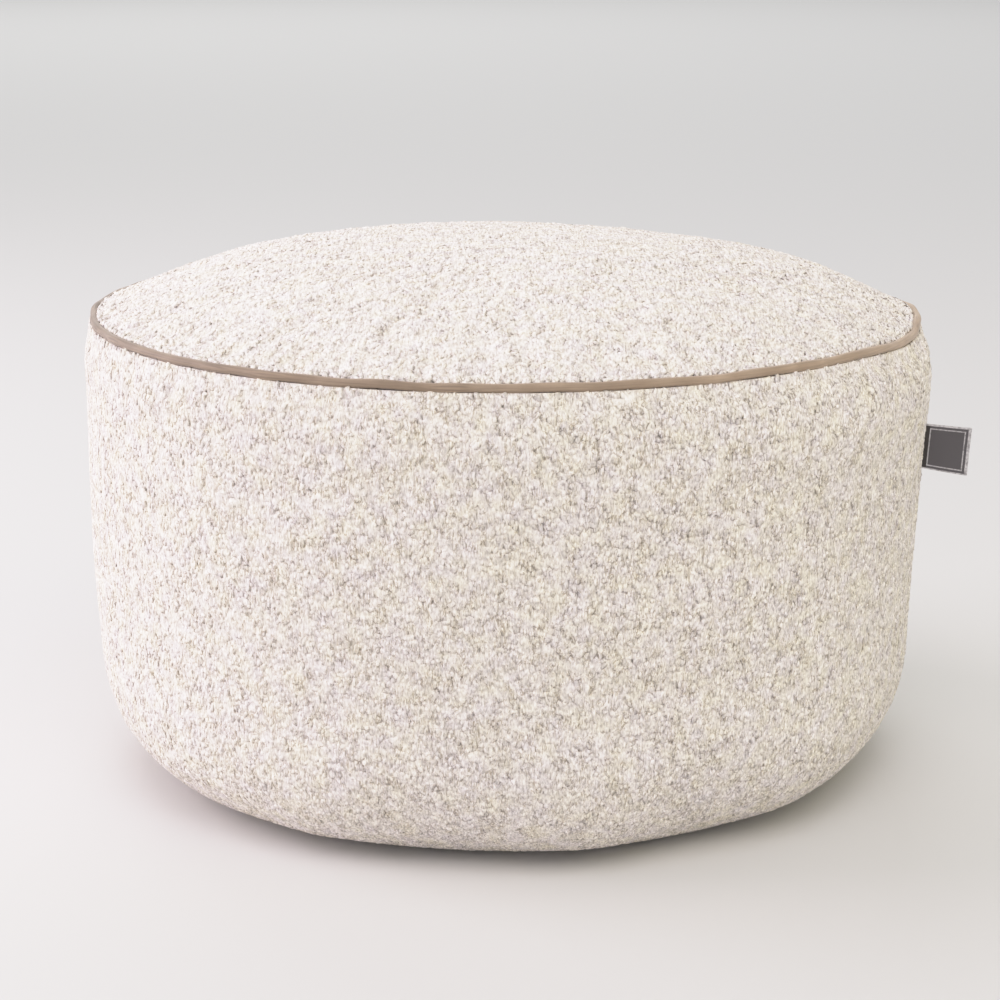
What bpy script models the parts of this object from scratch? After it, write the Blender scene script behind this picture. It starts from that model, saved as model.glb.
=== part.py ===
"""A bean bag footstool: a round drum of cloth, filled taut, with a crowned top.

The cloth and the filling behind it are one filled solid in each panel. The pieces are the
crowned top panel, the piping in the top seam, the side band with its rounded bottom edge and
one upright seam, the flat base panel, and the label whose cut ends are caught in that seam.

Units are metres, +Z is up. The origin is the middle of the base panel's underside, on the
floor. An azimuth is in degrees, counted from +X towards +Y.
"""

import math
from collections import namedtuple

import bmesh
import bpy
import numpy as np

# ---------------------------------------------------------------- driving dimensions

BODY_RADIUS = 0.2500  # the widest part of the wall
WIDEST_HEIGHT = 0.2430  # how high the widest part lies
SEAM_RADIUS = 0.2427  # the top seam, at the middle of the piping's bead
SEAM_HEIGHT = 0.2715

CROWN_HEIGHT = 0.0445  # from the top seam up to the middle of the top panel
CROWN_POWER = 0.86  # under 1 rounds the crown's shoulder, 1 is a parabola

WALL_TAPER = 0.0090  # how far the wall would draw in from its widest part to the floor
WALL_TAPER_POWER = 1.35
BOTTOM_EDGE_WIDTH = 0.0610  # the rounded bottom edge, measured inwards
BOTTOM_EDGE_HEIGHT = 0.0735
BOTTOM_EDGE_LIFT = 0.0006  # the band's lowest line stays just off the floor

PIPING_RADIUS = 0.0026
TONGUE_THICKNESS = 0.0012
TONGUE_DEPTH = 0.0100  # how far the piping's tongue reaches into the seam
CRADLE_LOW_ANGLE = -48.0  # where the wall leaves the bead, seen in the section
CRADLE_HIGH_ANGLE = 136.0  # where the crown leaves the bead

BASE_THICKNESS = 0.0030
BASE_EDGE_ROUND = 0.0011
BASE_SEAM_WIDTH = 0.0016  # the open line between the base panel and the band

BAND_SEAM_AZIMUTH = -11.0
BAND_SEAM_RADIUS = 0.0021  # the groove of the upright seam is half round

LABEL_ROOT_WIDTH = 0.0262  # the seam pinches the cut ends a little
LABEL_FOLD_WIDTH = 0.0284
LABEL_REACH = 0.0268  # from the wall out to the fold
LABEL_ROOT = 0.0012  # how deep the cut ends sit in the upright seam's groove
LABEL_CENTRE_HEIGHT = 0.1975
LABEL_DROP_ANGLE = 6.0  # the fold hangs this much lower than the cut ends
LABEL_CLOTH = 0.0010
LABEL_SPACE = 0.0009  # between the two layers
LABEL_BOW = 0.0016  # how far the middle of the label bends out of its plane

GAP = 0.0003  # between pieces that touch
SEAM_FADE = 0.0140  # lumps in the wall die out this far below the top seam
FLOOR_FADE = 0.0120  # and this far above the floor
RIM_FADE = 0.0600  # lumps in the crown die out this far in from its rim

TURN_STEPS = 96
CRADLE_STEPS = 7
BEAD_STEPS = 10
CROWN_STEPS = 12
WALL_STEPS = 13
EDGE_STEPS = 9
GROOVE_POINTS = 40
LABEL_STEPS = 6
FOLD_STEPS = 6
MERGE_DISTANCE = 0.00001

# Where the filling pushes the wall out or leaves it slack. The azimuth and its spread are in
# degrees, the other values in metres.
WallLump = namedtuple("WallLump", "azimuth height azimuth_spread height_spread push")
WALL_LUMPS = (
    WallLump(-10, 0.235, 28, 0.040, 0.0014),
    WallLump(-170, 0.235, 28, 0.040, -0.0012),
    WallLump(-10, 0.120, 35, 0.050, -0.0010),
    WallLump(-170, 0.120, 35, 0.050, 0.0014),
    WallLump(-25, 0.060, 14, 0.040, -0.0025),
    WallLump(-42, 0.040, 12, 0.035, 0.0027),
    WallLump(-62, 0.035, 10, 0.030, -0.0042),
    WallLump(-79, 0.030, 10, 0.030, 0.0038),
    WallLump(-97, 0.026, 10, 0.030, -0.0020),
    WallLump(-118, 0.030, 11, 0.030, 0.0036),
    WallLump(-140, 0.040, 12, 0.035, 0.0030),
    WallLump(165, 0.045, 14, 0.036, -0.0022),
    WallLump(138, 0.036, 12, 0.032, 0.0032),
    WallLump(112, 0.030, 11, 0.030, -0.0030),
    WallLump(84, 0.034, 12, 0.034, 0.0034),
    WallLump(58, 0.030, 10, 0.030, -0.0028),
    WallLump(30, 0.040, 14, 0.036, 0.0026),
    WallLump(95, 0.180, 30, 0.050, 0.0014),
    WallLump(40, 0.130, 24, 0.045, -0.0014),
)

# Where the crown stands higher or lower, in metres.
CrownLump = namedtuple("CrownLump", "x y spread push")
CROWN_LUMPS = (
    CrownLump(-0.130, 0.060, 0.085, 0.0018),
    CrownLump(0.060, 0.060, 0.080, -0.0020),
    CrownLump(0.190, 0.030, 0.065, 0.0014),
    CrownLump(-0.060, -0.110, 0.075, -0.0012),
    CrownLump(0.090, -0.120, 0.080, 0.0012),
)

# ---------------------------------------------------------------- worked-out sizes

PARTS_NAME = "bean_bag_footstool"
CUTTERS_NAME = "cutters"

CRADLE_RADIUS = PIPING_RADIUS + GAP + MERGE_DISTANCE
HALF_TONGUE = TONGUE_THICKNESS / 2
PLANE_OFFSET = HALF_TONGUE + GAP
TONGUE_TIP_RADIUS = SEAM_RADIUS - PIPING_RADIUS - TONGUE_DEPTH


def bead_point(angle, radius):
    """A point at this angle and distance from the middle of the bead, in the section."""
    turned = math.radians(angle)
    return SEAM_RADIUS + radius * math.cos(turned), SEAM_HEIGHT + radius * math.sin(turned)


def wall_radius(height):
    """The wall's radius at a height, with the shoulder above and the rounded edge below."""
    shoulder_radius, shoulder_height = bead_point(CRADLE_LOW_ANGLE, CRADLE_RADIUS)
    if height > WIDEST_HEIGHT:
        share = (height - WIDEST_HEIGHT) / (shoulder_height - WIDEST_HEIGHT)
        radius = BODY_RADIUS - (BODY_RADIUS - shoulder_radius) * share**2
    else:
        share = (WIDEST_HEIGHT - height) / WIDEST_HEIGHT
        radius = BODY_RADIUS - WALL_TAPER * share**WALL_TAPER_POWER
    below = max(0.0, 1 - height / BOTTOM_EDGE_HEIGHT)
    return radius - BOTTOM_EDGE_WIDTH * (1 - math.sqrt(1 - below**2))


BASE_RADIUS = wall_radius(0.0) - BASE_SEAM_WIDTH


def crown_height(radius):
    """The height of the top panel at a distance from its middle."""
    rim_radius, rim_height = bead_point(CRADLE_HIGH_ANGLE, CRADLE_RADIUS)
    rise = SEAM_HEIGHT + CROWN_HEIGHT - rim_height
    return rim_height + rise * max(0.0, 1 - (radius / rim_radius) ** 2) ** CROWN_POWER


def smooth_step(share):
    """0 below 0 and 1 above 1, with a soft turn in between."""
    held = np.clip(share, 0.0, 1.0)
    return held * held * (3 - 2 * held)


# ---------------------------------------------------------------- building


def empty_scene():
    """Removes every object that the file holds."""
    for thing in list(bpy.data.objects):
        bpy.data.objects.remove(thing, do_unlink=True)


def new_collection(name):
    made = bpy.data.collections.new(name)
    bpy.context.scene.collection.children.link(made)
    return made


def cloth_material(name, colour, roughness):
    material = bpy.data.materials.new(name)
    material.use_nodes = True
    shader = material.node_tree.nodes["Principled BSDF"]
    shader.inputs["Base Color"].default_value = (*colour, 1.0)
    shader.inputs["Roughness"].default_value = roughness
    shader.inputs["Metallic"].default_value = 0.0
    return material


def boucle_cloth():
    return cloth_material("cream_boucle", (0.80, 0.75, 0.68), 0.95)


def plain_base_cloth():
    return cloth_material("plain_base_cloth", (0.72, 0.67, 0.60), 0.90)


def piping_cloth():
    return cloth_material("taupe_piping_cloth", (0.40, 0.28, 0.21), 0.75)


def label_cloth():
    return cloth_material("dark_label_cloth", (0.075, 0.070, 0.075), 0.55)


def turned(name, section, closed, collection):
    """A solid turned about +Z from a section that runs down its outer side."""
    count = len(section)
    edges = [(i, i + 1) for i in range(count - 1)]
    if closed:
        edges.append((count - 1, 0))
    mesh = bpy.data.meshes.new(name)
    mesh.from_pydata([(radius, 0.0, height) for radius, height in section], edges, [])
    made = bpy.data.objects.new(name, mesh)
    collection.objects.link(made)
    screw = made.modifiers.new("turn", "SCREW")
    screw.steps = TURN_STEPS
    screw.render_steps = TURN_STEPS
    screw.use_merge_vertices = True
    screw.merge_threshold = MERGE_DISTANCE
    screw.use_smooth_shade = True
    return made


def as_plain_mesh(made):
    """Gives the object the mesh that its modifiers make, and drops the modifiers."""
    depsgraph = bpy.context.evaluated_depsgraph_get()
    made.data = bpy.data.meshes.new_from_object(made.evaluated_get(depsgraph))
    made.modifiers.clear()
    return made


def moved_points(made, move):
    """Passes the mesh's points through a function on an array of rows x, y, z."""
    points = np.zeros(len(made.data.vertices) * 3)
    made.data.vertices.foreach_get("co", points)
    made.data.vertices.foreach_set("co", move(points.reshape(-1, 3)).ravel())
    made.data.update()


def shade(made, sharp_angle):
    made.data.shade_smooth()
    made.data.set_sharp_from_angle(angle=math.radians(sharp_angle))


def uneven_wall(points):
    """Pushes wall points in or out by WALL_LUMPS, but not at the top seam or the floor."""
    radius = np.hypot(points[:, 0], points[:, 1])
    azimuth = np.degrees(np.arctan2(points[:, 1], points[:, 0]))
    height = points[:, 2]
    push = np.zeros(len(points))
    for lump in WALL_LUMPS:
        around = (azimuth - lump.azimuth + 180) % 360 - 180
        upwards = height - lump.height
        fall = (around / lump.azimuth_spread) ** 2 + (upwards / lump.height_spread) ** 2
        push += lump.push * np.exp(-fall)
    top_edge = bead_point(CRADLE_LOW_ANGLE, CRADLE_RADIUS)[1]
    push *= smooth_step((top_edge - height) / SEAM_FADE)
    push *= smooth_step((height - BOTTOM_EDGE_LIFT) / FLOOR_FADE)
    on_wall = radius > BASE_RADIUS
    grown = np.where(on_wall, 1 + push / np.maximum(radius, BASE_RADIUS), 1.0)
    return np.column_stack((points[:, 0] * grown, points[:, 1] * grown, height))


def uneven_crown(points):
    """Lifts or lowers the crown's points by CROWN_LUMPS, but not at its rim."""
    radius = np.hypot(points[:, 0], points[:, 1])
    lift = np.zeros(len(points))
    for lump in CROWN_LUMPS:
        fall = ((points[:, 0] - lump.x) ** 2 + (points[:, 1] - lump.y) ** 2) / lump.spread**2
        lift += lump.push * np.exp(-fall)
    lift *= smooth_step((SEAM_RADIUS - PIPING_RADIUS - radius) / RIM_FADE)
    lift[points[:, 2] < SEAM_HEIGHT + 2 * PLANE_OFFSET] = 0.0
    return np.column_stack((points[:, 0], points[:, 1], points[:, 2] + lift))


# ---------------------------------------------------------------- the pieces


def cradle(start_angle, end_angle):
    """Points of the arc that hugs the bead with a small gap."""
    angles = np.linspace(start_angle, end_angle, CRADLE_STEPS)
    return [bead_point(angle, CRADLE_RADIUS) for angle in angles]


def make_top_panel(collection):
    """The filled top panel: its crown, then the cradle, then its flat underside."""
    rim_radius = bead_point(CRADLE_HIGH_ANGLE, CRADLE_RADIUS)[0]
    turns = np.linspace(0.0, math.pi / 2, CROWN_STEPS)
    crown = [(rim_radius * math.sin(t), crown_height(rim_radius * math.sin(t))) for t in turns]
    inner_angle = 180 - math.degrees(math.asin(PLANE_OFFSET / CRADLE_RADIUS))
    hug = cradle(CRADLE_HIGH_ANGLE, inner_angle)
    step_radius = TONGUE_TIP_RADIUS - GAP
    underside = [
        (step_radius, SEAM_HEIGHT + PLANE_OFFSET),
        (step_radius, SEAM_HEIGHT - HALF_TONGUE),
        (0.0, SEAM_HEIGHT - HALF_TONGUE),
    ]
    panel = turned("top_panel", crown[:-1] + hug + underside, False, collection)
    as_plain_mesh(panel)
    moved_points(panel, uneven_crown)
    shade(panel, 50)
    panel.data.materials.append(boucle_cloth())
    return panel


def band_section():
    """The side band's section, from the middle of its flat top to that of its underside."""
    inner_angle = -180 + math.degrees(math.asin(PLANE_OFFSET / CRADLE_RADIUS))
    hug = cradle(inner_angle, CRADLE_LOW_ANGLE)
    heights = np.linspace(hug[-1][1], BOTTOM_EDGE_HEIGHT, WALL_STEPS)[1:]
    wall = [(wall_radius(height), height) for height in heights]
    turns = np.linspace(0.0, math.pi / 2, EDGE_STEPS)[1:]
    lowest = BOTTOM_EDGE_LIFT
    edge_heights = [max(lowest, BOTTOM_EDGE_HEIGHT * (1 - math.sin(t))) for t in turns]
    edge = [(wall_radius(height), height) for height in edge_heights]
    recess_radius = BASE_RADIUS + GAP
    ceiling = BASE_THICKNESS + GAP
    recess = [(recess_radius, lowest), (recess_radius, ceiling), (0.0, ceiling)]
    return [(0.0, SEAM_HEIGHT - PLANE_OFFSET)] + hug + wall + edge + recess


def upright_seam_cutter(collection):
    """A round rod that follows the wall at the upright seam and cuts its groove."""
    turned_to = math.radians(BAND_SEAM_AZIMUTH)
    heights = np.linspace(SEAM_HEIGHT - PIPING_RADIUS, BOTTOM_EDGE_LIFT, GROOVE_POINTS)
    radii = np.array([wall_radius(height) for height in heights])
    line = np.column_stack((radii * math.cos(turned_to), radii * math.sin(turned_to), heights))
    line = uneven_wall(line)
    curve = bpy.data.curves.new("upright_seam_cutter", "CURVE")
    curve.dimensions = "3D"
    curve.bevel_depth = BAND_SEAM_RADIUS
    curve.bevel_resolution = 2
    curve.use_fill_caps = True
    spline = curve.splines.new("POLY")
    spline.points.add(len(line) - 1)
    for point, place in zip(spline.points, line):
        point.co = (*place, 1.0)
    rod = bpy.data.objects.new("upright_seam_rod", curve)
    collection.objects.link(rod)
    depsgraph = bpy.context.evaluated_depsgraph_get()
    mesh = bpy.data.meshes.new_from_object(rod.evaluated_get(depsgraph))
    working = bmesh.new()
    working.from_mesh(mesh)
    bmesh.ops.remove_doubles(working, verts=working.verts, dist=MERGE_DISTANCE)
    working.to_mesh(mesh)
    working.free()
    cutter = bpy.data.objects.new("upright_seam_cutter", mesh)
    cutter.matrix_world = rod.matrix_world
    collection.objects.link(cutter)
    bpy.data.objects.remove(rod, do_unlink=True)
    cutter.hide_render = True
    cutter.display_type = "WIRE"
    return cutter


def make_side_band(collection, cutters):
    """The filled side band, with the groove of its upright seam."""
    band = turned("side_band", band_section(), False, collection)
    as_plain_mesh(band)
    moved_points(band, uneven_wall)
    groove = band.modifiers.new("upright_seam", "BOOLEAN")
    groove.operation = "DIFFERENCE"
    groove.solver = "EXACT"
    groove.object = upright_seam_cutter(cutters)
    as_plain_mesh(band)
    shade(band, 50)
    band.data.materials.clear()
    band.data.materials.append(boucle_cloth())
    return band


def make_top_piping(collection):
    """The piping's bead with the flat tongue that is sewn into the seam."""
    meet = 180 - math.degrees(math.asin(HALF_TONGUE / PIPING_RADIUS))
    angles = np.linspace(meet, -meet, BEAD_STEPS)
    bead = [bead_point(angle, PIPING_RADIUS) for angle in angles]
    tongue = [
        (TONGUE_TIP_RADIUS, SEAM_HEIGHT - HALF_TONGUE),
        (TONGUE_TIP_RADIUS, SEAM_HEIGHT + HALF_TONGUE),
    ]
    piping = turned("top_piping", bead + tongue, True, collection)
    as_plain_mesh(piping)
    shade(piping, 50)
    piping.data.materials.append(piping_cloth())
    return piping


def make_base_panel(collection):
    """The flat round panel underneath, with softened edges."""
    mesh = bpy.data.meshes.new("base_panel")
    working = bmesh.new()
    bmesh.ops.create_cone(
        working,
        cap_ends=True,
        segments=TURN_STEPS,
        radius1=BASE_RADIUS,
        radius2=BASE_RADIUS,
        depth=BASE_THICKNESS,
    )
    bmesh.ops.translate(working, verts=working.verts, vec=(0.0, 0.0, BASE_THICKNESS / 2))
    working.to_mesh(mesh)
    working.free()
    panel = bpy.data.objects.new("base_panel", mesh)
    collection.objects.link(panel)
    rounding = panel.modifiers.new("soft_edge", "BEVEL")
    rounding.width = BASE_EDGE_ROUND
    rounding.segments = 3
    rounding.limit_method = "ANGLE"
    as_plain_mesh(panel)
    shade(panel, 40)
    panel.data.materials.append(plain_base_cloth())
    return panel


def label_section():
    """The folded strip seen from above: out along one layer, round the fold, and back.

    Each point is (distance out from the cut ends, offset across the label's plane).
    """
    reach = LABEL_ROOT + LABEL_REACH
    inner = LABEL_SPACE / 2
    outer = inner + LABEL_CLOTH
    straight = np.linspace(0.0, reach - outer, LABEL_STEPS)
    turns = np.linspace(-math.pi / 2, math.pi / 2, FOLD_STEPS)
    outside = [(out, -outer) for out in straight[:-1]]
    outside += [(reach - outer + outer * math.cos(t), outer * math.sin(t)) for t in turns]
    outside += [(out, outer) for out in straight[-2::-1]]
    inside = [(out, inner) for out in straight[:-1]]
    inside += [(reach - outer + inner * math.cos(t), inner * math.sin(t)) for t in turns[::-1]]
    inside += [(out, -inner) for out in straight[-2::-1]]
    return outside + inside


def make_side_label(collection):
    """The label: the folded strip's section raised to a unit height, then shaped and placed."""
    section = label_section()
    mesh = bpy.data.meshes.new("side_label")
    working = bmesh.new()
    ring = [working.verts.new((out, across, 0.0)) for out, across in section]
    face = working.faces.new(ring)
    raised = bmesh.ops.extrude_face_region(working, geom=[face])
    lifted = [part for part in raised["geom"] if isinstance(part, bmesh.types.BMVert)]
    bmesh.ops.translate(working, verts=lifted, vec=(0.0, 0.0, 1.0))
    bmesh.ops.recalc_face_normals(working, faces=working.faces)
    working.to_mesh(mesh)
    working.free()
    label = bpy.data.objects.new("side_label", mesh)
    collection.objects.link(label)
    moved_points(label, placed_label)
    shade(label, 40)
    label.data.materials.append(label_cloth())
    return label


def placed_label(points):
    """Widens and bows the label, drops its fold and sets its cut ends in the groove."""
    out = points[:, 0]
    share = out / (LABEL_ROOT + LABEL_REACH)
    width = LABEL_ROOT_WIDTH + (LABEL_FOLD_WIDTH - LABEL_ROOT_WIDTH) * share
    across = points[:, 1] + LABEL_BOW * share**2
    up = (points[:, 2] - 0.5) * width
    drop = math.radians(LABEL_DROP_ANGLE)
    along = out * math.cos(drop)
    height = LABEL_CENTRE_HEIGHT + up - out * math.sin(drop)
    root_radius = wall_radius_at_seam(height) - LABEL_ROOT
    turned_to = math.radians(BAND_SEAM_AZIMUTH)
    radial = root_radius + along
    x = radial * math.cos(turned_to) - across * math.sin(turned_to)
    y = radial * math.sin(turned_to) + across * math.cos(turned_to)
    return np.column_stack((x, y, height))


def wall_radius_at_seam(heights):
    """The uneven wall's radius at the upright seam, for an array of heights."""
    turned_to = math.radians(BAND_SEAM_AZIMUTH)
    radii = np.array([wall_radius(height) for height in heights])
    line = np.column_stack((radii * math.cos(turned_to), radii * math.sin(turned_to), heights))
    moved = uneven_wall(line)
    return np.hypot(moved[:, 0], moved[:, 1])


def main():
    empty_scene()
    parts = new_collection(PARTS_NAME)
    cutters = new_collection(CUTTERS_NAME)
    make_base_panel(parts)
    make_side_band(parts, cutters)
    make_top_piping(parts)
    make_top_panel(parts)
    make_side_label(parts)


main()
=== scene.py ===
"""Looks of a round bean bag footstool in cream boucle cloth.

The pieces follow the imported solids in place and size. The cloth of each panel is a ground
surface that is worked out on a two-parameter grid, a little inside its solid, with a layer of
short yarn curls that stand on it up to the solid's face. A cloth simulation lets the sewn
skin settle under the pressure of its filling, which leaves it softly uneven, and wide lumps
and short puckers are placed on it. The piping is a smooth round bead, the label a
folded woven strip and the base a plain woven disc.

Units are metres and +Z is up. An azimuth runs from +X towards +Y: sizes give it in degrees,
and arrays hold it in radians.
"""

import logging
import math
from dataclasses import dataclass
from enum import Enum

import bpy
import numpy as np
from mathutils import Matrix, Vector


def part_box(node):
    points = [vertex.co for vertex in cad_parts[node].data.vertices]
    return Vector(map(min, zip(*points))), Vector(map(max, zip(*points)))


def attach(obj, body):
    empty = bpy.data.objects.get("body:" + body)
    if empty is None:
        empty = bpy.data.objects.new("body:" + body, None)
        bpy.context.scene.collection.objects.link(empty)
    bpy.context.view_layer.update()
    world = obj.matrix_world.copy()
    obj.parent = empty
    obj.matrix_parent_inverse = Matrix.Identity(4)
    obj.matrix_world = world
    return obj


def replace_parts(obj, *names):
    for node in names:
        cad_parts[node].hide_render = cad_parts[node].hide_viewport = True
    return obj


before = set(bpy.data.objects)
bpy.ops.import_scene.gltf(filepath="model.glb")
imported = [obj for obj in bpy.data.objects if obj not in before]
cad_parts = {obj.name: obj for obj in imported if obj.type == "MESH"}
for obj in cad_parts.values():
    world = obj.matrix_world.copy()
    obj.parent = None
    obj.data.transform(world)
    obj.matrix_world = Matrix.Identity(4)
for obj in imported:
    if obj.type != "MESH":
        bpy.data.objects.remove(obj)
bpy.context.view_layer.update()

Array = np.ndarray
LOG = logging.getLogger("footstool")
BODY = "root"
SEED = 4177
GROUND_PILE = 0.4  # how high in the pile a ground cloth counts, for its painted depth shade


class Node(Enum):
    """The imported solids."""

    TOP = "top_panel"
    BAND = "side_band"
    BASE = "base_panel"
    PIPING = "top_piping"
    LABEL = "side_label"


class Slot(Enum):
    """The record's material slots."""

    BOUCLE = "boucle"
    BASE = "base_cloth"
    PIPING = "piping"
    LABEL = "label"


# ---------------------------------------------------------------- numbers on arrays


def smooth_step(share: Array) -> Array:
    """Turns 0..1 into 0..1 with level ends, by three squares less two cubes.

    Args:
        share: Values, held to 0..1 first.

    Returns:
        The eased values.
    """
    held = np.clip(share, 0.0, 1.0)
    return held * held * (3 - 2 * held)


def unit(vectors: Array) -> Array:
    """Vectors divided by their own lengths along the last axis."""
    return vectors / np.maximum(np.linalg.norm(vectors, axis=-1, keepdims=True), 1e-12)


def polar(radius: Array, azimuth: Array, height: Array) -> Array:
    """Points from radius, azimuth in radians and height: (r cos a, r sin a, z)."""
    return np.stack((radius * np.cos(azimuth), radius * np.sin(azimuth), height), axis=-1)


def round_turns(count: int) -> Array:
    """Evenly spaced azimuths once round, in radians, the first at 0."""
    return np.arange(count) / count * 2 * math.pi


def turn_between(azimuth: Array, centre: float) -> Array:
    """Degrees from centre to each azimuth in radians, the short way round."""
    return (np.degrees(azimuth) - centre + 180) % 360 - 180


def bell(*shares: Array) -> Array:
    """1 where every share is 0 and falling to 0 far off: e to the minus sum of squares."""
    return np.exp(-sum(share**2 for share in shares))


def cubic_weights(share: Array) -> Array:
    """Weights of the four neighbours of a point between the middle two.

    The Catmull-Rom cubic: it passes through the values and has no corners.

    Args:
        share: How far each point is from the second neighbour to the third.

    Returns:
        Weights, the four along the first axis.
    """
    square, cube = share**2, share**3
    return np.stack(
        (
            -0.5 * cube + square - 0.5 * share,
            1.5 * cube - 2.5 * square + 1.0,
            -1.5 * cube + 2.0 * square + 0.5 * share,
            0.5 * cube - 0.5 * square,
        )
    )


def sampled(grid: Array, rows: Array, columns: Array) -> Array:
    """Reads a grid between its points; columns run round and rows stop at the ends.

    Args:
        grid: Values, rows by columns.
        rows: Row places, which may lie between rows.
        columns: Column places, which may lie between columns.

    Returns:
        The value at each place.
    """
    rows = np.clip(rows, 0, grid.shape[0] - 1)
    low_row, low_column = np.floor(rows).astype(int), np.floor(columns).astype(int)
    row_weights = cubic_weights(rows - low_row)
    column_weights = cubic_weights(columns - low_column)
    total = np.zeros(np.shape(rows))
    for i in range(4):
        row = np.clip(low_row + i - 1, 0, grid.shape[0] - 1)
        for j in range(4):
            column = (low_column + j - 1) % grid.shape[1]
            total += row_weights[i] * column_weights[j] * grid[row, column]
    return total


def ring_quads(rows: int, columns: int, closed: bool = False) -> Array:
    """Corner numbers of the quads of a grid whose columns run round.

    Rows run down the outer side and columns anticlockwise seen from above, so faces point out.

    Args:
        rows: How many rows of points there are.
        columns: How many points a row has.
        closed: Whether the last row joins the first, as round a bead.

    Returns:
        The quads.
    """
    row, column = np.mgrid[0 : rows if closed else rows - 1, 0:columns]
    below, after = (row + 1) % rows, (column + 1) % columns
    corners = (
        row * columns + column,
        below * columns + column,
        below * columns + after,
        row * columns + after,
    )
    return np.stack(corners, axis=-1).reshape(-1, 4)


def grid_quads(rows: int, columns: int) -> Array:
    """Corner numbers of the quads of a grid that is open on all four sides.

    Args:
        rows: How many rows of points there are.
        columns: How many points a row has.

    Returns:
        The quads.
    """
    number = np.arange(rows * columns).reshape(rows, columns)
    corners = (number[:-1, :-1], number[1:, :-1], number[1:, 1:], number[:-1, 1:])
    return np.stack(corners, axis=-1).reshape(-1, 4)


def fan(pole: int, ring: Array, upwards: bool) -> Array:
    """Triangles from a pole to a ring of points that runs anticlockwise seen from above.

    Args:
        pole: The pole's number.
        ring: The ring's point numbers.
        upwards: Whether the faces point up.

    Returns:
        The triangles.
    """
    after = np.roll(ring, -1)
    poles = np.full(len(ring), pole)
    return np.stack((poles, ring, after) if upwards else (poles, after, ring), axis=-1)


def disc_map(across: Array, along: Array) -> tuple[Array, Array]:
    """Squares turned into circles, with even areas.

    The larger of the two values is the radius, and the smaller one, as a share of it, is the
    place on that eighth of the circle.

    Args:
        across: Values from -1 to 1.
        along: Values from -1 to 1.

    Returns:
        The radius from 0 to 1, and the azimuth in radians.
    """
    wide = np.abs(across) > np.abs(along)
    signed = np.where(wide, across, along)
    other = np.where(wide, along, across)
    share = other / np.where(signed == 0, 1.0, signed)
    angle = np.where(wide, share * math.pi / 4, math.pi / 2 - share * math.pi / 4)
    return np.abs(signed), angle + np.where(signed < 0, math.pi, 0.0)


# ---------------------------------------------------------------- the filled shape


@dataclass(frozen=True)
class WallLump:
    """A place where the filling pushes the wall out, or leaves it slack."""

    azimuth: float
    height: float
    azimuth_spread: float
    height_spread: float
    push: float


@dataclass(frozen=True)
class CrownLump:
    """A place where the crown stands higher or lower."""

    x: float
    y: float
    spread: float
    push: float


@dataclass(frozen=True)
class SeamDip:
    """A stretch of the top edge that has settled lower than the rest."""

    azimuth: float
    azimuth_spread: float
    drop: float


@dataclass(frozen=True)
class Pucker:
    """A short soft ridge or trough in the cloth, lying at a turn from the upright."""

    azimuth: float
    height: float
    turn: float
    length: float
    width: float
    push: float


# Azimuths, turns and spreads of azimuth are in degrees. The solids have the same lumps, apart
# from the wall's last three, and the dips and the puckers are in the cloth alone.
WALL_LUMPS = (
    WallLump(-10, 0.235, 28, 0.040, 0.0014),
    WallLump(-170, 0.235, 28, 0.040, -0.0012),
    WallLump(-10, 0.120, 35, 0.050, -0.0010),
    WallLump(-170, 0.120, 35, 0.050, 0.0014),
    WallLump(-25, 0.060, 14, 0.040, -0.0025),
    WallLump(-42, 0.040, 12, 0.035, 0.0027),
    WallLump(-62, 0.035, 10, 0.030, -0.0042),
    WallLump(-79, 0.030, 10, 0.030, 0.0038),
    WallLump(-97, 0.026, 10, 0.030, -0.0020),
    WallLump(-118, 0.030, 11, 0.030, 0.0036),
    WallLump(-140, 0.040, 12, 0.035, 0.0030),
    WallLump(165, 0.045, 14, 0.036, -0.0022),
    WallLump(138, 0.036, 12, 0.032, 0.0032),
    WallLump(112, 0.030, 11, 0.030, -0.0030),
    WallLump(84, 0.034, 12, 0.034, 0.0034),
    WallLump(58, 0.030, 10, 0.030, -0.0028),
    WallLump(30, 0.040, 14, 0.036, 0.0026),
    WallLump(95, 0.180, 30, 0.050, 0.0014),
    WallLump(40, 0.130, 24, 0.045, -0.0014),
    WallLump(-66, 0.232, 30, 0.032, 0.0034),
    WallLump(-90, 0.080, 38, 0.060, -0.0040),
    WallLump(-33, 0.240, 16, 0.026, 0.0044),
)

CROWN_LUMPS = (
    CrownLump(-0.130, 0.060, 0.085, 0.0018),
    CrownLump(0.060, 0.060, 0.080, -0.0020),
    CrownLump(0.190, 0.030, 0.065, 0.0014),
    CrownLump(-0.060, -0.110, 0.075, -0.0012),
    CrownLump(0.090, -0.120, 0.080, 0.0012),
)

SEAM_DIPS = (
    SeamDip(17, 15, 0.0050),
    SeamDip(-19, 13, 0.0042),
    SeamDip(150, 16, 0.0016),
)

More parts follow.
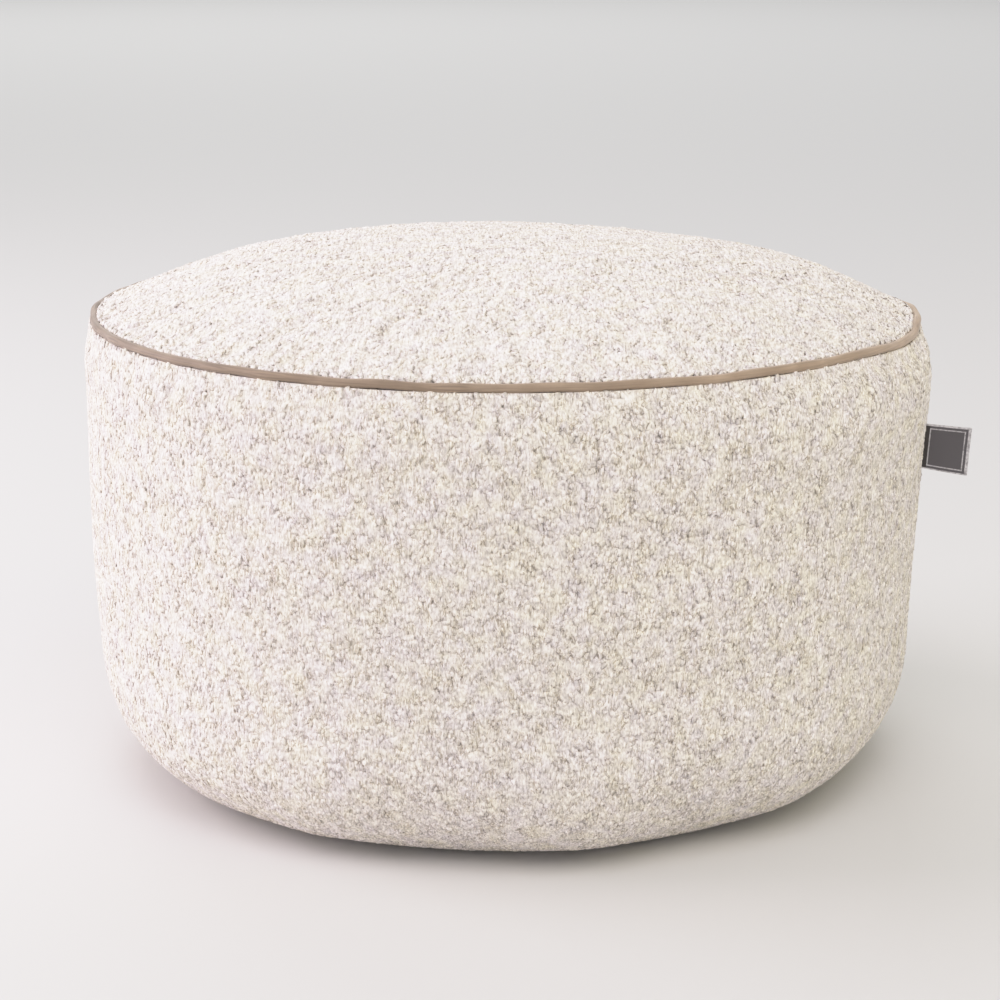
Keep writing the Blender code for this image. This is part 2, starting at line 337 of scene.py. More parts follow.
PUCKERS = (
    Pucker(-146, 0.250, 8, 0.018, 0.0050, -0.0020),
    Pucker(-141, 0.247, -6, 0.020, 0.0055, 0.0016),
    Pucker(-136, 0.252, 10, 0.016, 0.0050, -0.0020),
    Pucker(-129, 0.254, -4, 0.014, 0.0050, -0.0015),
    Pucker(-103, 0.250, 24, 0.013, 0.0055, 0.0011),
    Pucker(-100, 0.247, 30, 0.013, 0.0045, -0.0010),
    Pucker(-46, 0.252, -10, 0.015, 0.0060, -0.0020),
    Pucker(-38, 0.249, 6, 0.018, 0.0070, 0.0018),
    Pucker(-31, 0.252, -12, 0.016, 0.0060, -0.0022),
    Pucker(-22, 0.250, 6, 0.018, 0.0065, 0.0018),
    Pucker(28, 0.250, -8, 0.018, 0.0055, -0.0011),
    Pucker(64, 0.248, 12, 0.016, 0.0050, 0.0009),
    Pucker(118, 0.250, 8, 0.017, 0.0055, -0.0011),
    Pucker(152, 0.249, -12, 0.016, 0.0050, 0.0010),
    Pucker(-122, 0.200, 16, 0.040, 0.0200, -0.0012),
    Pucker(-68, 0.130, -20, 0.050, 0.0220, -0.0009),
)


@dataclass(frozen=True)
class DrumShape:
    """The taut filled drum: the sections of its crown and its wall, and its unevenness.

    The seam's and base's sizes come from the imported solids. Most others are the solids' own
    driving sizes, said again here. The dips' reach, the low bell all round, the angle at
    which the cloth ends in the seam, the tuck at the base and the counts of points belong to
    the cloth alone.
    """

    seam_radius: float
    seam_height: float
    bead_radius: float
    base_radius: float
    base_thickness: float
    body_radius: float = 0.2500
    widest_height: float = 0.2430
    crown_height: float = 0.0445
    crown_power: float = 0.86
    wall_taper: float = 0.0090
    wall_taper_power: float = 1.35
    edge_width: float = 0.0610
    edge_height: float = 0.0735
    edge_lift: float = 0.0006
    low_angle: float = -48.0
    high_angle: float = 136.0
    inner_angle: float = 163.0
    gap: float = 0.0003
    seam_fade: float = 0.0140
    floor_fade: float = 0.0120
    dip_reach: float = 0.0550
    low_push: float = 0.0018
    low_height: float = 0.0300
    low_spread: float = 0.0300
    rim_fade: float = 0.0600
    tuck: tuple[tuple[float, float], ...] = ((0.0009, 0.0003), (0.0002, 0.0010))
    crown_points: int = 300
    wall_points: int = 200
    edge_points: int = 160
    hug_points: int = 12

    @classmethod
    def from_frame(cls) -> "DrumShape":
        """Reads the seam's and base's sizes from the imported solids.

        Returns:
            The drum.
        """
        low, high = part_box(Node.PIPING.value)
        base_low, base_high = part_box(Node.BASE.value)
        bead_radius = (high.z - low.z) / 2
        return cls(
            seam_radius=(high.x - low.x) / 2 - bead_radius,
            seam_height=(high.z + low.z) / 2,
            bead_radius=bead_radius,
            base_radius=(base_high.x - base_low.x) / 2,
            base_thickness=base_high.z,
        )

    def hug_length(self, from_angle: float, to_angle: float) -> float:
        """The length of a section's part that hugs the bead, between angles in degrees."""
        return math.radians(abs(to_angle - from_angle)) * (self.bead_radius + self.gap)

    @property
    def wall_hug(self) -> float:
        """The length of the wall's section that is out of sight under the bead."""
        return self.hug_length(-self.inner_angle, self.low_angle)

    @property
    def crown_hug(self) -> float:
        """The length of the crown's section that runs down beside the bead."""
        return self.hug_length(self.high_angle, self.inner_angle)

    def bead_point(self, angle: Array) -> Array:
        """Section points that hug the bead at a gap: a circle round the bead's middle.

        Args:
            angle: Angles in degrees, seen in the section.

        Returns:
            Rows of radius and height.
        """
        turned = np.radians(angle)
        away = self.bead_radius + self.gap
        radius = self.seam_radius + away * np.cos(turned)
        return np.stack((radius, self.seam_height + away * np.sin(turned)), axis=-1)

    def wall_radius(self, height: Array) -> Array:
        """The wall's radius at each height.

        Above the widest height the wall draws in with the square of the rise, and below it
        with a power of the drop. The bottom edge takes a quarter ellipse off that.

        Args:
            height: Heights above the floor.

        Returns:
            The radii.
        """
        shoulder_radius, shoulder_height = self.bead_point(np.array(self.low_angle))
        rise = (height - self.widest_height) / (shoulder_height - self.widest_height)
        above = self.body_radius - (self.body_radius - shoulder_radius) * rise**2
        drop = np.maximum(0.0, 1 - height / self.widest_height)
        below = self.body_radius - self.wall_taper * drop**self.wall_taper_power
        radius = np.where(height > self.widest_height, above, below)
        under = np.clip(1 - height / self.edge_height, 0.0, 1.0)
        return radius - self.edge_width * (1 - np.sqrt(1 - under**2))

    def crown_section(self) -> Array:
        """The crown's section from its middle over the shoulder and down beside the bead.

        The rise above the rim is a power of one less the square of the radius's share.

        Returns:
            Rows of radius and height.
        """
        rim_radius, rim_height = self.bead_point(np.array(self.high_angle))
        turns = np.linspace(0.0, math.pi / 2, self.crown_points)
        radius = rim_radius * np.sin(turns)
        rise = self.seam_height + self.crown_height - rim_height
        rounded = np.maximum(0.0, 1 - (radius / rim_radius) ** 2) ** self.crown_power
        crown = np.stack((radius, rim_height + rise * rounded), axis=-1)
        hug = self.bead_point(np.linspace(self.high_angle, self.inner_angle, self.hug_points))
        return np.concatenate((crown, hug[1:]))

    def wall_section(self) -> Array:
        """The wall's section from under the bead down, round the edge and up to the base.

        Its last three points turn up out of sight beside the base panel's rim.

        Returns:
            Rows of radius and height.
        """
        hug = self.bead_point(np.linspace(-self.inner_angle, self.low_angle, 2 * self.hug_points))
        heights = np.linspace(hug[-1, 1], self.edge_height, self.wall_points)[1:]
        turns = np.linspace(0.0, math.pi / 2, self.edge_points)[1:]
        edge = np.maximum(self.edge_lift, self.edge_height * (1 - np.sin(turns)))
        heights = np.concatenate((heights, edge))
        wall = np.stack((self.wall_radius(heights), heights), axis=-1)
        seam_radius = self.base_radius + self.gap
        steps = [(seam_radius + out, self.edge_lift + up) for out, up in self.tuck]
        tuck = np.array((*steps, (seam_radius, self.base_thickness)))
        return np.concatenate((hug, wall, tuck))

    def wall_push(self, azimuth: Array, height: Array) -> Array:
        """How far the filling pushes the wall out: a low bell all round and a sum of lumps.

        It fades to nothing at the top seam and at the floor.

        Args:
            azimuth: Azimuths in radians.
            height: Heights above the floor.

        Returns:
            The pushes.
        """
        push = self.low_push * bell((height - self.low_height) / self.low_spread)
        for lump in WALL_LUMPS:
            around = turn_between(azimuth, lump.azimuth) / lump.azimuth_spread
            upwards = (height - lump.height) / lump.height_spread
            push += lump.push * bell(around, upwards)
        top_edge = self.bead_point(np.array(self.low_angle))[1]
        push *= smooth_step((top_edge - height) / self.seam_fade)
        return push * smooth_step((height - self.edge_lift) / self.floor_fade)

    def pucker_push(self, azimuth: Array, height: Array) -> Array:
        """Short ridges and troughs: long bells, turned from the upright.

        Args:
            azimuth: Azimuths in radians.
            height: Heights above the floor.

        Returns:
            How far they push the wall out.
        """
        push = np.zeros(np.shape(azimuth))
        for pucker in PUCKERS:
            around = np.radians(turn_between(azimuth, pucker.azimuth)) * self.body_radius
            upwards = height - pucker.height
            turned = math.radians(pucker.turn)
            along = upwards * math.cos(turned) + around * math.sin(turned)
            across = around * math.cos(turned) - upwards * math.sin(turned)
            push += pucker.push * bell(along / pucker.length, across / pucker.width)
        return push

    def settled_height(self, azimuth: Array, radius: Array, height: Array) -> Array:
        """Heights with the dips of the top edge, which fade inwards and down the wall.

        Args:
            azimuth: Azimuths in radians.
            radius: The points' radii.
            height: The points' heights without the dips.

        Returns:
            The lowered heights.
        """
        drop = np.zeros(np.shape(azimuth))
        for dip in SEAM_DIPS:
            drop += dip.drop * bell(turn_between(azimuth, dip.azimuth) / dip.azimuth_spread)
        inwards = smooth_step(1 - (self.seam_radius - radius) / self.dip_reach)
        downwards = smooth_step(1 - (self.seam_height - height) / self.dip_reach)
        return height - drop * inwards * downwards

    def crown_push(self, radius: Array, azimuth: Array) -> Array:
        """How far the crown's uneven filling lifts it: a sum of bells that fade at the rim.

        Args:
            radius: Radii.
            azimuth: Azimuths in radians.

        Returns:
            The lifts.
        """
        x, y = radius * np.cos(azimuth), radius * np.sin(azimuth)
        lift = np.zeros(np.shape(radius))
        for lump in CROWN_LUMPS:
            lift += lump.push * bell((x - lump.x) / lump.spread, (y - lump.y) / lump.spread)
        rim = self.seam_radius - self.bead_radius
        return lift * smooth_step((rim - radius) / self.rim_fade)


class Path:
    """A section line read by the length along it."""

    def __init__(self, points: Array) -> None:
        """Measures the line.

        Args:
            points: Rows of radius and height, in order.
        """
        shortest = 1e-7
        steps = np.linalg.norm(np.diff(points, axis=0), axis=1)
        keep = np.concatenate(([True], steps > shortest))
        self.points = points[keep]
        steps = np.linalg.norm(np.diff(self.points, axis=0), axis=1)
        self.lengths = np.concatenate(([0.0], np.cumsum(steps)))
        tangents = unit(np.gradient(self.points, self.lengths, axis=0))
        self.normals = np.stack((-tangents[:, 1], tangents[:, 0]), axis=-1)

    @property
    def length(self) -> float:
        """The whole line's length."""
        return float(self.lengths[-1])

    def at(self, along: Array) -> tuple[Array, Array, Array, Array]:
        """The radius, height and outward normal's two parts at each length."""
        parts = (self.points[:, 0], self.points[:, 1], self.normals[:, 0], self.normals[:, 1])
        return tuple(np.interp(along, self.lengths, part) for part in parts)

    def length_at_radius(self, radius: float) -> float:
        """The length at which a line that runs outwards first reaches a radius."""
        return float(self.lengths[np.argmax(self.points[:, 0] >= radius)])

    def length_below(self, height: float) -> float:
        """The length at which a line that runs downwards first falls to a height."""
        return float(self.lengths[np.argmax(self.points[:, 1] <= height)])


# ---------------------------------------------------------------- the settling cloth


@dataclass
class SettledRows:
    """What the settling leaves: how far each grid point moved along its normal."""

    start: float
    spacing: float
    moves: Array

    def at(self, azimuth: Array, along: Array) -> Array:
        """The smooth move at each azimuth in radians and length along the section."""
        columns = (azimuth / (2 * math.pi)) % 1.0 * self.moves.shape[1]
        return sampled(self.moves, (along - self.start) / self.spacing, columns)


@dataclass(frozen=True)
class SkinSettling:
    """Lets the sewn skin swell and pucker with Blender's cloth.

    The skin is one closed grid: the crown from a held middle disc to the top seam, and the
    wall from there to the base seam. The seams are held, the cloth is cut a little wider
    than they are, and the filling presses from inside. Only the uneven part of each row's
    move is kept, because the sections already have the swollen form, and the wall's moves
    fade towards its top seam and the floor.
    """

    spacing: float = 0.0052
    columns: int = 300
    held_middle: float = 0.080
    rim_slack: float = 1e-6  # so that rounding can't miss the rim
    frames: int = 20
    pressure: float = 4.0
    ease: float = 0.030
    stiffness: float = 15.0
    bending: float = 0.4
    cloth_mass: float = 0.3
    cap: float = 0.0025
    seam_calm: float = 0.030
    floor_calm: float = 0.060

    def rows_of(self, start: float, end: float) -> tuple[Array, float]:
        """Section lengths of evenly spaced rows from start to end, and their spacing."""
        count = max(2, round((end - start) / self.spacing) + 1)
        return np.linspace(start, end, count), (end - start) / (count - 1)

    def settle(self, crown: Path, wall: Path, shape: DrumShape) -> tuple[SettledRows, SettledRows]:
        """Runs the cloth and returns the uneven moves of the crown's and wall's rows.

        Args:
            crown: The crown's section.
            wall: The wall's section.
            shape: The drum, for the seam's place.

        Returns:
            The crown's rows and the wall's rows.
        """
        rim_radius = shape.bead_point(np.array(shape.high_angle))[0] - self.rim_slack
        shoulder_height = shape.bead_point(np.array(shape.low_angle))[1]
        crown_start = crown.length_at_radius(self.held_middle)
        crown_rows, crown_spacing = self.rows_of(crown_start, crown.length_at_radius(rim_radius))
        wall_rows, wall_spacing = self.rows_of(
            wall.length_below(shoulder_height), wall.length_below(shape.edge_lift)
        )
        azimuth = round_turns(self.columns)
        rings, normals = [], []
        for path, rows in ((crown, crown_rows), (wall, wall_rows)):
            radius, height, out, up = (part[:, None] for part in path.at(rows))
            rings.append(polar(radius, azimuth, np.broadcast_to(height, (len(rows), self.columns))))
            normals.append(polar(out, azimuth, np.broadcast_to(up, (len(rows), self.columns))))
        grid = np.concatenate(rings)
        held = np.zeros(grid.shape[:2], bool)
        last_crown = len(crown_rows) - 1
        held[[0, last_crown, last_crown + 1, -1]] = True
        moved = self.run(grid, held)
        moves = ((moved - grid) * np.concatenate(normals)).sum(axis=-1)
        moves -= moves.mean(axis=1, keepdims=True)
        moves = np.clip(moves, -self.cap, self.cap)
        calm = smooth_step((wall_rows - wall_rows[0]) / self.seam_calm)
        calm *= smooth_step(wall.at(wall_rows)[1] / self.floor_calm)
        moves[last_crown + 1 :] *= calm[:, None]
        LOG.info("settled skin: %d points, moves to %.2f mm", held.size, moves.max() * 1000)
        return (
            SettledRows(crown_start, crown_spacing, moves[: last_crown + 1]),
            SettledRows(float(wall_rows[0]), wall_spacing, moves[last_crown + 1 :]),
        )

    def run(self, grid: Array, held: Array) -> Array:
        """Steps the cloth through its frames.

        Args:
            grid: Points, rows by columns, top row first.
            held: Which points don't move.

        Returns:
            The points after the last frame.
        """
        skin = bpy.data.objects.new("settling_skin", capped_skin("settling_skin", grid))
        scene = bpy.context.scene
        scene.collection.objects.link(skin)
        pins = np.concatenate((np.flatnonzero(held.ravel()), (held.size, held.size + 1)))
        skin.vertex_groups.new(name="held").add(pins.tolist(), 1.0, "REPLACE")
        cloth = skin.modifiers.new("cloth", "CLOTH")
        cloth.collision_settings.use_collision = False
        cloth.point_cache.frame_start = 1
        cloth.point_cache.frame_end = self.frames
        settings = cloth.settings
        settings.mass = self.cloth_mass
        settings.tension_stiffness = self.stiffness
        settings.compression_stiffness = self.stiffness
        settings.bending_stiffness = self.bending
        settings.vertex_group_mass = "held"
        settings.use_pressure = True
        settings.uniform_pressure_force = self.pressure
        settings.shrink_min = -self.ease
        settings.effector_weights.gravity = 0.0
        scene.frame_start, scene.frame_end = 1, self.frames
        for number in range(1, self.frames + 1):
            scene.frame_set(number)
        evaluated = skin.evaluated_get(bpy.context.evaluated_depsgraph_get())
        moved = np.zeros(len(evaluated.data.vertices) * 3)
        evaluated.data.vertices.foreach_get("co", moved)
        bpy.data.objects.remove(skin, do_unlink=True)
        scene.frame_set(1)
        return moved.reshape(-1, 3)[: held.size].reshape(grid.shape)


# ---------------------------------------------------------------- meshes


def filled_mesh(name: str, points: Array, face_sets: list[Array]) -> bpy.types.Mesh:
    """A smooth mesh from arrays.

    Args:
        name: The mesh's name.
        points: Rows of x, y, z.
        face_sets: Arrays of corner numbers, each with its own count of corners a face.

    Returns:
        The mesh.
    """
    mesh = bpy.data.meshes.new(name)
    mesh.vertices.add(len(points))
    mesh.vertices.foreach_set("co", np.asarray(points, np.float32).ravel())
    corners = np.concatenate([faces.ravel() for faces in face_sets])
    sizes = np.concatenate([np.full(len(faces), faces.shape[1]) for faces in face_sets])
    mesh.loops.add(len(corners))
    mesh.loops.foreach_set("vertex_index", corners.astype(np.int32))
    mesh.polygons.add(len(sizes))
    starts = np.concatenate(([0], np.cumsum(sizes)[:-1]))
    mesh.polygons.foreach_set("loop_start", starts.astype(np.int32))
    mesh.update(calc_edges=True)
    mesh.validate()
    mesh.shade_smooth()
    return mesh


def capped_skin(name: str, grid: Array) -> bpy.types.Mesh:
    """A skin that runs round +Z, with a fan of triangles over its first and its last ring.

    Args:
        name: The mesh's name.
        grid: Points, rows by columns, the upper end first.

    Returns:
        The mesh, whose last two points are the middles of the two fans.
    """
    rows, columns = grid.shape[:2]
    middles = ((0.0, 0.0, grid[0, 0, 2]), (0.0, 0.0, grid[-1, 0, 2]))
    points = np.concatenate((grid.reshape(-1, 3), middles))
    first, last = np.arange(columns), (rows - 1) * columns + np.arange(columns)
    fans = (fan(rows * columns, first, True), fan(rows * columns + 1, last, False))
    return filled_mesh(name, points, [ring_quads(rows, columns), *fans])


def set_values(mesh: bpy.types.Mesh, name: str, values: Array) -> None:
    """Stores one number a point under a name, for the materials."""
    attribute = mesh.attributes.new(name, "FLOAT", "POINT")
    attribute.data.foreach_set("value", np.asarray(values, np.float32).ravel())


def set_map(mesh: bpy.types.Mesh, places: Array) -> None:
    """Stores a UV map, whose corners take their points' places.

    Args:
        mesh: The mesh.
        places: One (u, v) a point.
    """
    corner_points = np.zeros(len(mesh.loops), np.int32)
    mesh.loops.foreach_get("vertex_index", corner_points)
    layer = mesh.uv_layers.new(name="UVMap")
    layer.data.foreach_set("uv", np.asarray(places, np.float32)[corner_points].ravel())


def put_in_scene(
    name: str, mesh: bpy.types.Mesh, material: bpy.types.Material
) -> bpy.types.Object:
    """Makes a mesh a piece that rides on the body.

    Args:
        name: The piece's name.
        mesh: Its mesh, in the row frame.
        material: Its finish.

    Returns:
        The piece.
    """
    mesh.materials.append(material)
    piece = bpy.data.objects.new(name, mesh)
    bpy.context.scene.collection.objects.link(piece)
    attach(piece, BODY)
    triangles = sum(len(polygon.vertices) - 2 for polygon in mesh.polygons)
    LOG.info("%s: %d points, %d triangles", name, len(mesh.vertices), triangles)
    return piece


# ---------------------------------------------------------------- finishes


class Bench:
    """A short way to add shader nodes to a new material and wire them."""

    def __init__(self, name: str) -> None:
        """Starts a material with one Principled shader.

        Args:
            name: The material's name.
        """
        self.material = bpy.data.materials.new(name)
        self.material.use_nodes = True
        self.tree = self.material.node_tree
        self.shader = self.tree.nodes["Principled BSDF"]

    def add(self, kind: str, settings: dict | None = None, **inputs: object) -> bpy.types.Node:
        """Adds a node.

        Args:
            kind: The node type's name, without its leading ShaderNode.
            settings: The node's own properties.
            **inputs: Values for its sockets or sockets to wire in, named as the node names
                them with spaces as underscores.

        Returns:
            The node.
        """
        node = self.tree.nodes.new("ShaderNode" + kind)
        for key, value in (settings or {}).items():
            setattr(node, key, value)
        for key, value in inputs.items():
            self.feed(node.inputs[key.replace("_", " ")], value)
        return node

    def feed(self, socket: bpy.types.NodeSocket, value: object) -> None:
        """Wires a socket to another, or sets its value.

        Args:
            socket: The socket that takes the value.
            value: A number, a vector, a colour or a socket.
        """
        if isinstance(value, bpy.types.NodeSocket):
            self.tree.links.new(value, socket)
        else:
            socket.default_value = value

    def math(self, operation: str, *values: object) -> bpy.types.NodeSocket:
        """Adds a Math node.

        Args:
            operation: What it works out.
            *values: One to three numbers or sockets.

        Returns:
            The answer's socket.
        """
        node = self.tree.nodes.new("ShaderNodeMath")
        node.operation = operation
        for socket, value in zip(node.inputs, values):
            self.feed(socket, value)
        return node.outputs[0]

    def blend(self, share: object, first: object, second: object) -> bpy.types.NodeSocket:
        """Adds a Mix node for colours.

        Args:
            share: 0 for the first colour, 1 for the second.
            first: A colour or a socket.
            second: A colour or a socket.

        Returns:
            The mixed colour's socket.
        """
        node = self.tree.nodes.new("ShaderNodeMix")
        node.data_type = "RGBA"
        self.feed(node.inputs[0], share)
        self.feed(node.inputs[6], first)
        self.feed(node.inputs[7], second)
        return node.outputs[2]

    def vector(self, operation: str, first: object, second: object) -> bpy.types.NodeSocket:
        """Adds a Vector Math node.

        Args:
            operation: What it works out.
            first: A vector, a colour, a number or a socket.
            second: The same.

        Returns:
            The answer's socket.
        """
        node = self.tree.nodes.new("ShaderNodeVectorMath")
        node.operation = operation
        self.feed(node.inputs[0], first)
        self.feed(node.inputs[1], second)
        return node.outputs[0]

    def squiggles(self, place: object, scale: float, width: float) -> bpy.types.NodeSocket:
        """Draws thin curly lines where warped noise is near its middle value.

        Args:
            place: Where the noise is read.
            scale: How fine the noise is.
            width: How far from its middle the noise is where a line ends.

        Returns:
            0 on the lines and 1 off them.
        """
        wave = self.add("TexNoise", Vector=place, Scale=scale, Detail=2.0, Distortion=1.4)
        away = self.math("ABSOLUTE", self.centred(wave.outputs["Fac"]))
        return self.spread(away, 0.0, width)

    def centred(self, value: object) -> bpy.types.NodeSocket:
        """A value from 0 to 1, less a half, so that noise runs about 0."""
        return self.math("SUBTRACT", value, 0.5)

    def spread(self, value: object, low: float, high: float) -> bpy.types.NodeSocket:
        """Stretches a value so that low becomes 0 and high becomes 1, and holds it there.

        Args:
            value: A number or a socket.
            low: The value that becomes 0.
            high: The value that becomes 1.

        Returns:
            The stretched value's socket.
        """
        node = self.tree.nodes.new("ShaderNodeMapRange")
        self.feed(node.inputs["Value"], value)
        node.inputs["From Min"].default_value = low
        node.inputs["From Max"].default_value = high
        return node.outputs["Result"]

    def noise(self, place: object, scale: float, detail: float = 2.0) -> bpy.types.NodeSocket:
        """Soft noise of about one lump every 1/scale metres."""
        node = self.add("TexNoise", Vector=place, Scale=scale, Detail=detail)
        return node.outputs["Fac"]

    def own_place(self) -> bpy.types.NodeSocket:
        """The object's own coordinates, in metres."""
        return self.add("TexCoord").outputs["Object"]

    def bump(self, height: object, depth: float, strength: float) -> None:
        """Wires a height to the shader's normal."""
        node = self.add("Bump", Height=height, Distance=depth, Strength=strength)
        self.feed(self.shader.inputs["Normal"], node.outputs["Normal"])

    def set_shader(self, **values: object) -> None:
        """Sets or wires the shader's own sockets."""
        for key, value in values.items():
            self.feed(self.shader.inputs[key.replace("_", " ")], value)


class Grain(Enum):
    """How the yarn runs: the scale of the pattern along X, Y and Z."""

    UPRIGHT = (1.0, 1.0, 0.42)
    FRONT_TO_BACK = (0.95, 0.08, 1.0)


@dataclass(frozen=True)
class BoucleFinish:
    """Cream looped yarn, painted darker low in the pile as shade, each curl with its own tone.

    Fine noise, stretched the way the yarn runs, gives the curls light and dark flecks and
    their fibres' relief. Where warped noise passes its middle value it draws squiggly lines,
    in some patches only: the cracks where the pile parts, which are stretched further in
    height than the flecks and darken the colour with painted shade. Broad noise moves the
    colour between cream and a hint of lilac.
    """

    tip: tuple[float, float, float] = (0.835, 0.785, 0.742)
    # painted shade: the colour low in the pile, between and under the curls
    deep: tuple[float, float, float] = (0.820, 0.760, 0.705)
    lilac: tuple[float, float, float] = (0.995, 0.985, 1.03)
    cream: tuple[float, float, float] = (1.0, 0.992, 0.925)
    full_pile: float = 0.8
    patch_scale: float = 95.0
    patch_spread: tuple[float, float] = (0.30, 0.70)
    tone_shade: float = 0.28
    crack_scale: float = 360.0
    crack_width: float = 0.05
    crack_run: tuple[float, float, float] = (1.15, 1.15, 0.6)
    # painted shade in the cracks where the pile parts
    crack_shade: tuple[float, float, float] = (0.53, 0.49, 0.42)
    crack_patches: float = 160.0
    crack_spread: tuple[float, float] = (0.36, 0.56)
    crack_relief: float = 0.7
    fleck_scale: float = 950.0
    fleck_shade: float = 1.4
    fleck_relief: float = 2.0
    relief_depth: float = 0.0001
    relief_strength: float = 0.8
    roughness: float = 0.95
    sheen: float = 0.10
    specular: float = 0.2

    def material(self, grain: Grain) -> bpy.types.Material:
        """Builds the yarn's material, which a ground cloth and its curls share.

        Args:
            grain: How the yarn runs.

        Returns:
            The material.
        """
        bench = Bench("cream_boucle_" + grain.name.lower())
        place = bench.own_place()
        run = bench.vector("MULTIPLY", place, grain.value)
        pile = bench.add("Attribute", {"attribute_name": "pile"}).outputs["Fac"]
        tone = bench.add("Attribute", {"attribute_name": "tone"}).outputs["Fac"]
        parting = bench.vector("MULTIPLY", run, self.crack_run)
        cracks = bench.squiggles(parting, self.crack_scale, self.crack_width)
        parted = bench.spread(bench.noise(place, self.crack_patches), *self.crack_spread)
        cracks = bench.math("MULTIPLY", bench.math("SUBTRACT", 1.0, cracks), parted)
        flecks = bench.centred(bench.noise(run, self.fleck_scale))
        # painted shade: low in the pile the yarn takes the darker colour
        height = bench.spread(pile, 0.0, self.full_pile)
        yarn = bench.blend(height, (*self.deep, 1), (*self.tip, 1))
        patch = bench.spread(bench.noise(place, self.patch_scale, 1.0), *self.patch_spread)
        tint = bench.blend(patch, (*self.lilac, 1), (*self.cream, 1))
        # painted shade: the cracks darken the colour
        painted_crack_shade = bench.blend(cracks, (1, 1, 1, 1), (*self.crack_shade, 1))
        shade = bench.math("MULTIPLY_ADD", bench.centred(tone), self.tone_shade, 1.0)
        shade = bench.math("MULTIPLY_ADD", flecks, self.fleck_shade, shade)
        tint = bench.vector("MULTIPLY", tint, painted_crack_shade)
        colour = bench.vector("MULTIPLY", yarn, bench.vector("MULTIPLY", tint, shade))
        relief = bench.math("MULTIPLY", flecks, self.fleck_relief)
        relief = bench.math("MULTIPLY_ADD", cracks, -self.crack_relief, relief)
        bench.bump(relief, self.relief_depth, self.relief_strength)
        bench.set_shader(
            Base_Color=colour,
            Roughness=self.roughness,
            Sheen_Weight=self.sheen,
            Specular_IOR_Level=self.specular,
        )
        return bench.material


# The top panel's yarn: a lighter copy of the side's for the top's light, a little cooler and with
# paler painted shade in its cracks.
TOP_BOUCLE = BoucleFinish(
    cream=(1.0, 0.986, 0.945), crack_shade=(0.72, 0.685, 0.66), fleck_shade=1.5
)


@dataclass(frozen=True)
class PipingFinish:
    """Smooth taupe cloth cut on the bias, with a soft sheen and faint streaks along it.

    Painted light and shade: its colour is lighter towards +X and darker towards -X.
    """

    colour: tuple[float, float, float] = (0.290, 0.213, 0.150)
    worn: tuple[float, float, float] = (0.385, 0.293, 0.214)
    worn_scale: float = 40.0
    worn_spread: tuple[float, float] = (0.35, 0.75)
    streak_scale: float = 900.0
    streak_shade: float = 0.9
    streak_drift: float = 0.004
    drift_scale: float = 15.0
    # painted light and shade: the colour grows lighter towards +X and darker towards -X, by this
    # share a metre
    painted_light_slope: float = 1.4
    thread_pitch: float = 0.00045
    relief_depth: float = 0.00008
    relief_strength: float = 0.6
    roughness: float = 0.62
    sheen: float = 0.25
    specular: float = 0.35

    def material(self) -> bpy.types.Material:
        """Builds the material: the streaks are noise over the radius and the height.

        Returns:
            The material.
        """
        bench = Bench("taupe_piping")
        place = bench.own_place()
        rubbed = bench.spread(bench.noise(place, self.worn_scale), *self.worn_spread)
        colour = bench.blend(rubbed, (*self.colour, 1), (*self.worn, 1))
        x, y, z = bench.add("SeparateXYZ", Vector=place).outputs
        square = bench.math("MULTIPLY_ADD", x, x, bench.math("MULTIPLY", y, y))
        drift = bench.math("MULTIPLY", bench.noise(place, self.drift_scale), self.streak_drift)
        section = bench.add("CombineXYZ", X=bench.math("SQRT", square), Y=drift, Z=z)
        streaks = bench.centred(bench.noise(section.outputs["Vector"], self.streak_scale))
        shade = bench.math("MULTIPLY_ADD", streaks, self.streak_shade, 1.0)
        # painted light and shade: lighter towards +X, darker towards -X
        shade = bench.math("MULTIPLY_ADD", x, self.painted_light_slope, shade)
        colour = bench.vector("MULTIPLY", colour, shade)
        bench.set_shader(
            Base_Color=colour,
            Roughness=self.roughness,
            Sheen_Weight=self.sheen,
            Specular_IOR_Level=self.specular,
        )
        threads = bench.noise(place, 1 / self.thread_pitch)
        bench.bump(threads, self.relief_depth, self.relief_strength)
        return bench.material


@dataclass(frozen=True)
class BaseFinish:
    """Plain woven cotton in a flat weave."""

    colour: tuple[float, float, float] = (0.66, 0.61, 0.54)
    shade: tuple[float, float, float] = (0.54, 0.49, 0.43)
    thread_pitch: float = 0.0012
    slub_scale: float = 90.0
    relief_depth: float = 0.0002
    relief_strength: float = 0.7
    roughness: float = 0.9
    specular: float = 0.2

    def material(self) -> bpy.types.Material:
        """Builds a plain weave: the product of two waves, one along X and one along Y.

        Returns:
            The material.
        """
        bench = Bench("plain_base_weave")
        place = bench.own_place()
        parts = bench.add("SeparateXYZ", Vector=place)
        beat = 2 * math.pi / self.thread_pitch
        across = bench.math("SINE", bench.math("MULTIPLY", parts.outputs["X"], beat))
        along = bench.math("SINE", bench.math("MULTIPLY", parts.outputs["Y"], beat))
        weave = bench.math("MULTIPLY_ADD", bench.math("MULTIPLY", across, along), 0.5, 0.5)
        slub = bench.noise(place, self.slub_scale)
        share = bench.math("MULTIPLY_ADD", weave, 0.5, bench.math("MULTIPLY", slub, 0.5))
        colour = bench.blend(share, (*self.shade, 1), (*self.colour, 1))
        bench.set_shader(
            Base_Color=colour, Roughness=self.roughness, Specular_IOR_Level=self.specular
        )
        bench.bump(weave, self.relief_depth, self.relief_strength)
        return bench.material


